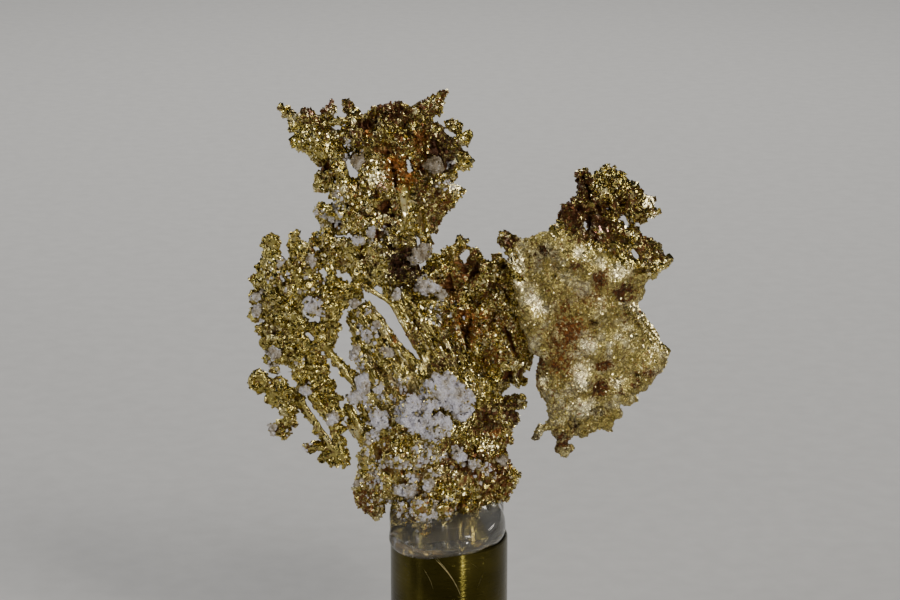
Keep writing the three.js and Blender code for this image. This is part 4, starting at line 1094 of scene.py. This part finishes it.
GROWTHS["gold_upper_leaf"] = Growth(
    seed=37,
    relief=crinkled,
    broad=0.8,
    habits=[
        Habit(8.5, (0.07, 0.24)),
        Habit(3.2, (0.16, 0.4), (1, 1, 0.3)),
        Habit(2.2, (0.08, 0.14), (1, 1, 3.4), (0.3, -0.1, -1), 0.3),
    ],
    joins=[
        (-11.7, 27.6, 0.4, -11.6, 26.8, 0.4), (-9.3, 27.2, 0.5, -9.1, 26.3, 0.5),
        (-8.0, 25.6, 0.5, -5.0, 25.0, 0.7),
    ],
    slits=[
        (-9.9, 38.6, 0.25, -9.4, 37.1, 0.55), (-4.1, 38.6, 0.18, -3.8, 37.4, 0.25),
        (-11.2, 30.8, 0.16, -10.1, 30.8, 0.16), (-3.1, 30.8, 0.15, -2.9, 29.4, 0.18),
        (-0.3, 41.5, 0.25, 0.4, 41.1, 0.22), (-10.2, 40.0, 0.15, -9.9, 39.2, 0.15), *RIB_GAP,
    ],
    grooves=[
        (-1.6, 40.4, 0.4, -0.6, 37.6, 0.4), (-5.6, 38.0, 0.3, -5.0, 35.0, 0.3),
        (-8.6, 43.2, 0.35, -7.6, 41.6, 0.3), (-3.0, 34.6, 0.25, -2.6, 31.4, 0.25),
        (-9.2, 33.4, 0.3, -7.4, 32.6, 0.3), (-4.6, 42.0, 0.3, -3.4, 40.6, 0.3),
        (-11.6, 38.6, 0.3, -11.2, 36.4, 0.3), (-7.4, 30.6, 0.3, -5.6, 29.6, 0.3),
    ],
    rods=[
        (-9.6, 42.6, 0.3, -11.6, 42.2, 0.25, -0.2), (-7.4, 43.6, 0.26, -4.6, 44.0, 0.26, -0.1),
        (-4.6, 44.0, 0.26, -2.4, 42.8, 0.26, -0.1), (-2.9, 43.3, 0.8, -0.4, 45.5, 0.26, 0.6),
        (-12.1, 42.6, 0.36, -11.6, 44.4, 0.2, 0.6), (-10.2, 44.4, 0.3, -9.3, 43.0, 0.5, 0.6),
        (-16.6, 44.0, 0.3, -14.6, 42.0, 0.7, 0.6),
    ],
    bars=[(-4.5, 35.6, 0.62, -4.3, 32.0, 0.14, -0.5)],
    buttons=[
        (1.6, 38.5, 0.75, 0.2), (-12.6, 35.9, 0.7, 0.2), (1.9, 41.2, 0.5, 0.2), (-15.0, 40.4, 0.6, 0.2),
        (-14.3, 40.2, 0.5, 0.2), (-9.0, 41.0, 0.55, -0.1), (-9.6, 33.0, 0.6, 0.0),
    ],
)

GROWTHS["gold_centre_leaf"] = Growth(
    seed=41,
    relief=lacy,
    broad=0.7,
    habits=[
        Habit(7.6, (0.07, 0.24)),
        Habit(1.8, (0.16, 0.4), (1, 1, 0.35)),
        Habit(2.6, (0.07, 0.13), (1, 1, 4.0), (0.5, -0.1, -0.9), 0.35),
    ],
    joins=[*TRUNK_JOINS, *SHEET_JOINS, (-3.8, 25.6, 0.6, -2.2, 26.6, 0.6)],
    slits=RIB_GAP,
    grooves=[
        (4.8, 23.0, 0.26, 3.6, 21.0, 0.24), (2.2, 18.6, 0.24, 3.8, 16.6, 0.24),
        (0.4, 24.0, 0.3, 1.8, 19.4, 0.3), (3.6, 29.4, 0.35, 2.2, 26.6, 0.3),
        (4.6, 26.4, 0.3, 6.0, 24.4, 0.3), (5.6, 21.4, 0.35, 6.8, 18.4, 0.3),
        (2.6, 22.6, 0.3, 1.6, 20.4, 0.3), (6.4, 29.0, 0.3, 5.2, 27.4, 0.3),
    ],
    rods=[(0.2, 24.6, 0.2, 2.0, 17.6, 0.18, -0.2)],
    folds=[(5.2, 28.5, 1.2, 6.6, 19.4, 1.2, 0.9)],
)

GROWTHS["gold_right_leaf"] = Growth(
    seed=53,
    relief=sheet,
    broad=0.25,
    habits=[
        Habit(7.0, (0.07, 0.24), where=crest),
        Habit(2.6, (0.2, 0.45), (1, 1, 0.3), where=crest),
        Habit(11.0, (0.05, 0.15), (1, 1, 0.4), scatter=0.45, where=flat),
        Habit(70.0, (0.06, 0.12), (1, 1, 0.4), where=on_sheet_ribs),
    ],
    satin=flat,
    joins=SHEET_JOINS,
    slits=[
        (17.5, 32.8, 0.2, 17.8, 32.0, 0.24), (19.1, 32.1, 0.22, 19.7, 30.9, 0.26),
        (17.0, 34.6, 0.16, 17.2, 34.1, 0.16), (18.3, 29.4, 0.12, 18.8, 28.6, 0.14),
        (15.6, 34.2, 0.1, 16.0, 33.4, 0.1),
    ],
    grooves=[
        (18.3, 20.8, 0.2, 18.7, 20.6, 0.2), (16.4, 15.7, 0.16, 16.9, 16.1, 0.16),
        (18.8, 16.5, 0.2, 19.0, 16.4, 0.2), (14.0, 22.0, 0.26, 14.6, 21.8, 0.24),
        (12.6, 22.8, 0.16, 12.9, 22.7, 0.16), (18.8, 23.1, 0.14, 20.9, 20.5, 0.12),
        (18.2, 22.8, 0.1, 20.4, 20.0, 0.1), (11.2, 26.0, 0.08, 14.6, 29.0, 0.06),
        (15.0, 22.6, 0.1, 15.2, 19.6, 0.08), (13.4, 37.0, 0.3, 14.0, 34.6, 0.3),
        (16.0, 36.6, 0.3, 16.4, 35.4, 0.3), (16.6, 30.6, 0.3, 18.0, 30.0, 0.3),
        (14.6, 34.0, 0.3, 15.2, 32.6, 0.25), (18.6, 27.2, 0.25, 20.4, 27.4, 0.25),
        (15.6, 30.0, 0.25, 16.6, 28.8, 0.25),
    ],
    rods=[
        (10.4, 10.9, 0.24, 9.1, 10.8, 0.22, 0.3), (9.2, 11.1, 0.32, 8.3, 9.6, 0.08, 0.3),
        (5.6, 30.9, 0.4, 7.1, 26.0, 0.42, 0.5), (7.1, 26.0, 0.42, 8.3, 20.6, 0.4, 0.5), *SHEET_RIBS,
    ],
    folds=[(5.2, 30.8, 0.9, 7.3, 26.0, 0.9, 0.5), (7.3, 26.0, 0.9, 7.6, 23.5, 0.9, 0.4)],
    facets=SHEET_FACETS,
    buttons=[
        (17.9, 14.0, 0.75, 0.1), (17.0, 12.4, 0.55, 0.1), (15.9, 11.4, 0.7, 0.1), (13.5, 10.7, 0.65, 0.1),
        (14.7, 11.2, 0.5, 0.2), (19.6, 15.2, 0.5, 0.1),
    ],
)


def gold_growth(node, growth):
    """A leaf of gold with its crystals, in place of its CAD solid. It gives the surface they stand on."""
    points, quads, depth = sponge(read_leaf(node), growth)
    iron, shade = rust_at(points)
    x, height = seen_at(points)
    satin, sunny = growth.satin(x, height), glow_at(x, height)
    mottle = 0.4 * swell(points, 0.8, growth.seed + 30) + 0.25 * swell(points, 2.6, growth.seed + 31)
    # Where the metal flashes it is painted paler, with less rust and pit dirt, and the sheet's flats get
    # near-white cores: a painted highlight.
    gilt_and_painted_highlight = 0.36 + 0.08 * satin + (0.4 - 0.22 * satin) * sunny**1.5 + 0.2 * satin * sunny**6
    values = {
        "iron": np.maximum(iron, 0.06 + 0.15 * satin) * (1 - 0.7 * sunny),
        "shade": shade,
        "hollow": pit_dirt_and_painted_shade(depth) * (1 - 0.6 * sunny),
        "tint": np.clip(gilt_and_painted_highlight + mottle, 0, growth.pale) + blush_at(points),
        "satin": satin,
        "soft": np.maximum(0.3 * satin, 0.42 * sunny),
        "grit": 0.8 - 0.55 * sunny,
    }
    surface = (*face_frames(points, quads), depth[quads].mean(axis=1))
    shells = [Shell(points, [quads], values)]
    shells += [grow_crystals(habit, surface, growth) for habit in growth.habits]
    piece = mesh_piece(node + "_crystals", together(shells), GOLD, smooth_faces=len(quads))
    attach(piece, "root")
    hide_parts(node)
    return surface


surfaces = {node: gold_growth(node, growth) for node, growth in GROWTHS.items()}


# ---- Quartz ----

QUARTZ_PITCH = 0.12  # spacing of the points that a lump is built on
# How much of its CAD solid a lump still fills, and how grey it is. On the greyest lumps, set back in the
# tall leaf's hollows, the grey is painted shade. The small ones are half hidden in gold.
FULL_LUMPS = {
    "quartz_main": (0.9, 0.02), "quartz_upper": (0.85, 0.18), "quartz_tower_foot": (0.7, 0.36),
    "quartz_foot": (0.85, 0.03), "quartz_tower_back": (0.62, 0.5), "quartz_right_patch": (0.5, 0.3),
    "quartz_mitten_heart": (0.8, 0.06), "quartz_left_patch": (0.8, 0.02), "quartz_rib_foot": (0.75, 0.06),
    "quartz_mid_high": (0.75, 0.04), "quartz_tower_window": (0.45, 0.38),
}
SMALL_LUMP = (0.46, 0.2)
FEWEST_GRAINS = 14  # in a lump
GRAINS_PER_MM2 = 9  # how many more it has for the area of its CAD solid
GRAIN_RADII = (0.12, 0.34)
SUGAR_PER_MM2, SUGAR_SIZES = 20, (0.06, 0.18)  # the angular grains on a lump's skin
CRUMBS_PER_MM2, CRUMB_SIZES = 30, (0.07, 0.22)
FLECKS_PER_MM2, FLECK_SIZES = 5, (0.06, 0.19)
RAISED = 0.08  # how far the crumbs and flecks stand out

# Where sugary crumbs are scattered between the lumps: x, height, half width, half height, share covered.
CRUMB_SPOTS = [
    (-7.6, 12.0, 1.6, 3.0, 0.8), (-5.2, 6.0, 2.6, 3.0, 0.7), (-2.6, 2.6, 2.6, 2.0, 0.7),
    (-3.6, 8.0, 3.0, 2.0, 0.6), (-5.0, 14.6, 2.0, 1.4, 0.3), (-8.4, 20.0, 1.0, 3.0, 0.6),
    (-16.6, 17.2, 2.0, 1.6, 0.35), (-15.4, 26.4, 2.4, 1.6, 0.3), (-12.0, 33.4, 1.4, 2.2, 0.35),
    (2.6, 6.4, 2.0, 1.2, 0.3), (-15.0, 9.6, 1.8, 1.2, 0.3), (-18.4, 22.8, 1.0, 1.6, 0.35),
    (-0.6, 23.0, 1.6, 1.4, 0.35), (-9.6, 39.4, 1.0, 1.6, 0.3), (-6.4, 30.6, 1.6, 1.2, 0.2),
    (-0.6, 37.0, 1.4, 1.6, 0.3),
]


def sugar_grains(centres, outward, sizes, grey):
    """Small angular grains of quartz, each turned its own way."""
    count = len(centres)
    axes = unit(outward + 0.8 * rng.normal(0, 1, (count, 3)))
    spread = sizes[:, None] * rng.uniform(0.7, 1.3, (count, 3))
    values = {"grey": grey + 0.1 * rng.normal(0, 1, count)}
    return octahedra(centres, axes, rng.uniform(0, 2 * math.pi, count), spread, values)


def grain_places(node, share):
    """Where a lump's grains sit: drawn in from its CAD solid's skin, and sunk a little into the gold."""
    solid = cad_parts[node].data
    corners = cad_corners(solid)
    a, b, c = (corners[[p.vertices[k] for p in solid.polygons]] for k in range(3))
    areas = np.linalg.norm(np.cross(b - a, c - a), axis=1) / 2
    small = node not in FULL_LUMPS
    count = int(FEWEST_GRAINS + GRAINS_PER_MM2 * share * areas.sum())
    chosen = rng.choice(len(areas), count, p=areas / areas.sum())
    u, v = rng.uniform(0, 1, (2, count, 1))
    flip = u + v > 1
    u, v = np.where(flip, 1 - u, u), np.where(flip, 1 - v, v)
    centres = a[chosen] + u * (b - a)[chosen] + v * (c - a)[chosen]
    spread = share * rng.uniform(0.7, 1.05, (count, 1))
    if small:
        spread = spread * rng.uniform(0.55, 1.45, 3)
    sunk = np.array([0, 0.4 if small else 0.2, 0])
    centres = corners.mean(axis=0) + (centres - corners.mean(axis=0)) * spread + sunk
    return centres + 0.4 * np.stack([swell(centres, 0.9, 73 + k) for k in range(3)], axis=1)


def packed_grains(centres):
    """Round grains run together in a volume, with rough hollows, and the place of its first corner."""
    radii = rng.uniform(*GRAIN_RADII, len(centres))
    low, high = centres.min(axis=0) - 0.6, centres.max(axis=0) + 0.6
    shape = np.ceil((high - low) / QUARTZ_PITCH).astype(int)
    volume = np.full(shape, -1.0)
    for centre, radius in zip(centres, radii):
        reach = radius + 2 * QUARTZ_PITCH
        first = np.maximum(((centre - reach - low) / QUARTZ_PITCH).astype(int), 0)
        last = np.minimum(((centre + reach - low) / QUARTZ_PITCH).astype(int) + 2, shape)
        window = tuple(slice(*span) for span in zip(first, last))
        grid = np.moveaxis(np.indices(last - first), 0, -1) + first
        gap = np.linalg.norm(grid * QUARTZ_PITCH + low - centre, axis=-1)
        volume[window] = np.maximum(volume[window], radius - gap)
    places = np.moveaxis(np.indices(shape), 0, -1) * QUARTZ_PITCH + low
    volume += 0.05 + 0.3 * swell(places, 0.75, 71) + 0.22 * swell(places, 0.34, 72)
    return np.where(places[..., 1] > centres[:, 1].max() + 0.5, -1, volume), low


def quartz_lump(node):
    """A ragged lump of quartz with a sugary skin, in place of its CAD solid. It gives its surface."""
    share, grey = FULL_LUMPS.get(node, SMALL_LUMP)
    volume, low = packed_grains(grain_places(node, share))
    points, quads = skin(sealed(volume), low, QUARTZ_PITCH)
    middles, outward, areas = face_frames(points, quads)
    weight = areas * (outward[:, 1] < 0.3)
    chosen = sown(weight, SUGAR_PER_MM2)
    sugar = sugar_grains(middles[chosen], outward[chosen], rng.uniform(*SUGAR_SIZES, len(chosen)), grey)
    lump = together([Shell(points, [quads], {"grey": np.full(len(points), grey)}), sugar])
    piece = mesh_piece(node + "_sugar", lump, QUARTZ)
    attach(piece, "root")
    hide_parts(node)
    return middles, outward, weight


def gold_flecks(lumps):
    """Bright grains of gold that grew in the quartz, in small flights across lumps and round their rims."""
    shells = []
    for middles, outward, areas in lumps:
        rim = (outward[:, 1] > -0.3) & (swell(middles, 0.6, 84) > -0.2)
        weight = areas * ((swell(middles, 1.1, 83) > 0.34) + 1.2 * rim)
        if weight.sum() == 0:
            continue
        chosen = sown(weight, FLECKS_PER_MM2)
        count = len(chosen)
        sizes = rng.uniform(*FLECK_SIZES, (count, 1)) * rng.uniform(0.6, 1.4, (count, 3))
        axes = unit(outward[chosen] + 0.7 * rng.normal(0, 1, (count, 3)))
        values = {name: np.zeros(count) for name in ("iron", "shade", "hollow", "satin", "soft")}
        values |= {"tint": rng.uniform(0, 0.8, count), "grit": np.full(count, 0.3)}
        raised = middles[chosen] + RAISED * outward[chosen]
        shells.append(octahedra(raised, axes, rng.uniform(0, 2 * math.pi, count), sizes, values))
    piece = mesh_piece("gold_flecks_in_quartz", together(shells), GOLD)
    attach(piece, "root")


def quartz_crumbs():
    """Loose sugary crumbs on the gold between the lumps."""
    shells = []
    for middles, outward, areas, _ in surfaces.values():
        share = patches(*seen_at(middles), CRUMB_SPOTS) * (swell(middles, 0.9, 81) > 0.12)
        weight = areas * share * (outward[:, 1] < 0)
        if weight.sum() == 0:
            continue
        chosen = sown(weight, CRUMBS_PER_MM2)
        raised = middles[chosen] + RAISED * outward[chosen]
        sizes = rng.uniform(*CRUMB_SIZES, len(chosen))
        shells.append(sugar_grains(raised, outward[chosen], sizes, 0.08))
    piece = mesh_piece("quartz_crumbs", together(shells), QUARTZ)
    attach(piece, "root")


gold_flecks([quartz_lump(name) for name in sorted(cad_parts) if name.startswith("quartz_")])
quartz_crumbs()


# ---- Putty ----

PUTTY_PITCH = 0.16  # spacing of the points that the gob is built on
PUTTY_BLEND = 0.9  # how widely its pads run into each other
PUTTY_GAP = 0.02  # what it keeps clear of the post
PUTTY_LOW, PUTTY_HIGH = (-7.0, -7.2, -2.4), (6.6, 6.4, 4.2)  # a box round all of it
# Pads of putty pressed together: centre, half sizes, and how square the pad is seen from the side.
PUTTY_PADS = [
    ((-0.5, 0.1, 1.5), (5.55, 5.5, 1.6), 3.0),
    ((-2.2, -4.0, 0.25), (3.3, 2.8, 1.6), 2.2),
    ((1.5, -3.9, 0.75), (2.5, 2.6, 1.6), 2.2),
    ((4.55, -2.3, 1.6), (0.75, 1.9, 1.5), 2.2),
    ((3.4, 2.6, 1.9), (1.9, 1.7, 1.5), 2.2),
]


def putty_gob():
    """A soft puck pressed on the post's top. It sags over the front left edge and rolls up at the right."""
    grid = [np.arange(low, high, PUTTY_PITCH) for low, high in zip(PUTTY_LOW, PUTTY_HIGH)]
    places = np.stack(np.meshgrid(*grid, indexing="ij"), axis=-1)
    total = np.zeros(places.shape[:3])
    for centre, half, square in PUTTY_PADS:
        away = (places - centre) / half
        out = np.hypot(away[..., 0], away[..., 1])
        pad = (1 - (out**square + np.abs(away[..., 2]) ** square) ** (1 / square)) * min(half)
        total += np.exp(np.clip(pad / PUTTY_BLEND * 2, -20, 20))
    volume = np.log(total) * PUTTY_BLEND / 2 + 0.1 * swell(places, 2.4, 90)
    above = places[..., 2] - PUTTY_GAP
    beside = np.hypot(places[..., 0], places[..., 1]) - POST_RADIUS - PUTTY_GAP
    volume = np.minimum(volume, np.maximum(above, beside))
    points, quads = skin(sealed(volume), np.array(PUTTY_LOW), PUTTY_PITCH)
    piece = mesh_piece("putty_gob", Shell(points, [quads]), PUTTY, smooth_faces=len(quads))
    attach(piece, "root")
    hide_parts("clear_putty")


putty_gob()


# ---- Post ----

SIDES = 256
TOP_ROUND, CHAMFER = 0.7, 0.4
WALL_RINGS = (6.0, 12.0)  # heights of the rings that divide the long wall


def post_profile():
    """The post's side as radius and height, from its foot to the end of its rolled edge."""
    profile = [(POST_RADIUS - CHAMFER, 0.0), (POST_RADIUS, CHAMFER)]
    profile += [(POST_RADIUS, level) for level in WALL_RINGS]
    for turn in np.linspace(0, math.pi / 2, 13):
        inward, down = TOP_ROUND * (1 - math.cos(turn)), TOP_ROUND * (1 - math.sin(turn))
        profile.append((POST_RADIUS - inward, POST_TOP - down))
    return profile


def post_bar():
    """The round bar: a flat foot with a small chamfer, and a rolled top edge."""
    rings = [ring_points(SIDES, radius, level - POST_TOP) for radius, level in post_profile()]
    points = np.concatenate([[[0.0, 0.0, -POST_TOP]], *rings, [[0.0, 0.0, 0.0]]])
    i = np.arange(SIDES)
    j = (i + 1) % SIDES
    first, last = 1, len(points) - 1 - SIDES
    walls = [
        np.stack([low + i, low + j, low + SIDES + j, low + SIDES + i], axis=1)
        for low in range(first, last, SIDES)
    ]
    foot = np.stack([np.zeros(SIDES, int), first + j, first + i], axis=1)
    top = np.stack([np.full(SIDES, last + SIDES), last + i, last + j], axis=1)
    shell = Shell(points, [np.concatenate(walls), foot, top])
    piece = mesh_piece("post_bar", shell, BRASS, smooth_faces=len(points) * 2)
    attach(piece, "root")
    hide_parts("brass_post")


# Each scratch runs over the post's front: x and drop below the top at its ends, its bow, its half width.
SCRATCHES = [
    (-1.75, 0.7, 1.25, 5.2, 0.45, 0.08), (-1.45, 0.7, 1.3, 5.3, 0.35, 0.07),
    (-2.55, 2.3, -1.6, 4.3, 0.12, 0.04), (2.2, 1.6, 2.9, 2.3, 0.05, 0.03), (3.4, 3.0, 2.8, 4.4, 0.06, 0.03),
    (-4.0, 6.8, -2.6, 8.4, 0.1, 0.03),
]
BURR = 0.02  # how far a scratch's raised edge stands proud of the bar


def post_scratches():
    """Long scratches, each with a burr of bright metal."""
    steps = 28
    shells = []
    for x0, drop0, x1, drop1, bow, half in SCRATCHES:
        share = np.linspace(0, 1, steps)
        x = x0 + (x1 - x0) * share + bow * np.sin(math.pi * share)
        level = -(drop0 + (drop1 - drop0) * share)
        wide = half * np.sqrt(np.sin(math.pi * np.linspace(0.04, 0.96, steps)))
        rows = []
        for side, lift in ((-1, -BURR), (0, BURR), (1, -BURR)):
            across = x + side * wide
            radius = POST_RADIUS + lift
            rows.append(np.stack([across, -np.sqrt(radius**2 - across**2), level], axis=1))
        k = np.arange(steps - 1)
        quads = [
            np.stack([a * steps + k, a * steps + k + 1, b * steps + k + 1, b * steps + k], axis=1)
            for a, b in ((0, 1), (1, 2), (2, 0))
        ]
        ends = np.array([(0, steps, 2 * steps), (3 * steps - 1, 2 * steps - 1, steps - 1)])
        shells.append(Shell(np.concatenate(rows), [np.concatenate(quads), ends]))
    piece = mesh_piece("post_scratches", together(shells), SCRATCH)
    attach(piece, "root")


post_bar()
post_scratches()


# ---- Stage, light and camera ----


def stage_floor():
    """A wide sheet of paper under the post."""
    half = 2.0
    corners = [(-half, -half, 0), (half, -half, 0), (half, half, 0), (-half, half, 0)]
    mesh = bpy.data.meshes.new("paper_floor")
    mesh.from_pydata(corners, [], [range(4)])
    mesh.materials.append(studio_paper())
    floor = bpy.data.objects.new("paper_floor", mesh)
    bpy.context.scene.collection.objects.link(floor)


def aimed(thing, place, target):
    """Puts a light or a camera at a place and turns it to its target."""
    bpy.context.scene.collection.objects.link(thing)
    thing.location = place
    thing.rotation_euler = (Vector(target) - Vector(place)).to_track_quat("-Z", "Y").to_euler()


def softbox(name, place, target, size, power, colour):
    light = bpy.data.lights.new(name, "AREA")
    light.shape = "RECTANGLE"
    light.size, light.size_y = size
    light.energy = power
    light.color = linear(colour)[:3]
    aimed(bpy.data.objects.new(name, light), place, target)


AIM = Vector((0.1 * MM, 0, (POST_TOP + 24.25) * MM))  # the middle of what the camera sees


def studio():
    """The floor, four soft lights and a thin strip that draws the bright line down the post."""
    stage_floor()
    softbox("key_softbox", (0.27, -0.33, 0.4), AIM, (0.15, 0.15), 1.08, "#FFFAF2")
    softbox("left_softbox", (-0.36, -0.22, 0.16), AIM, (0.08, 0.24), 0.22, "#F6F8FF")
    softbox("side_softbox", (-0.45, 0.05, 0.1), AIM, (0.3, 0.3), 0.4, "#F6F8FF")
    softbox("strip_softbox", (0.2, -0.41, 0.035), AIM, (0.006, 0.06), 0.5, "#FFFFFF")
    softbox("top_softbox", (0.0, 0.4, 0.55), (0.0, 0.36, 0.0), (0.4, 0.4), 2.9, "#FFFFFF")
    world = bpy.data.worlds.new("dim_studio")
    world.use_nodes = True
    world.node_tree.nodes["Background"].inputs["Color"].default_value = linear("#9A9DA3")
    world.node_tree.nodes["Background"].inputs["Strength"].default_value = 0.06
    bpy.context.scene.world = world


CAMERA_DISTANCE = 250 * MM
CAMERA_ELEVATION = math.radians(14.6)


def camera():
    """A long lens a little above the specimen, square to its front."""
    data = bpy.data.cameras.new("camera")
    data.lens = 100
    data.sensor_width = 36
    data.clip_start = 0.01
    eye = bpy.data.objects.new("camera", data)
    back = Vector((0, -math.cos(CAMERA_ELEVATION), math.sin(CAMERA_ELEVATION)))
    aimed(eye, AIM + CAMERA_DISTANCE * back, AIM)
    bpy.context.scene.camera = eye


studio()
camera()
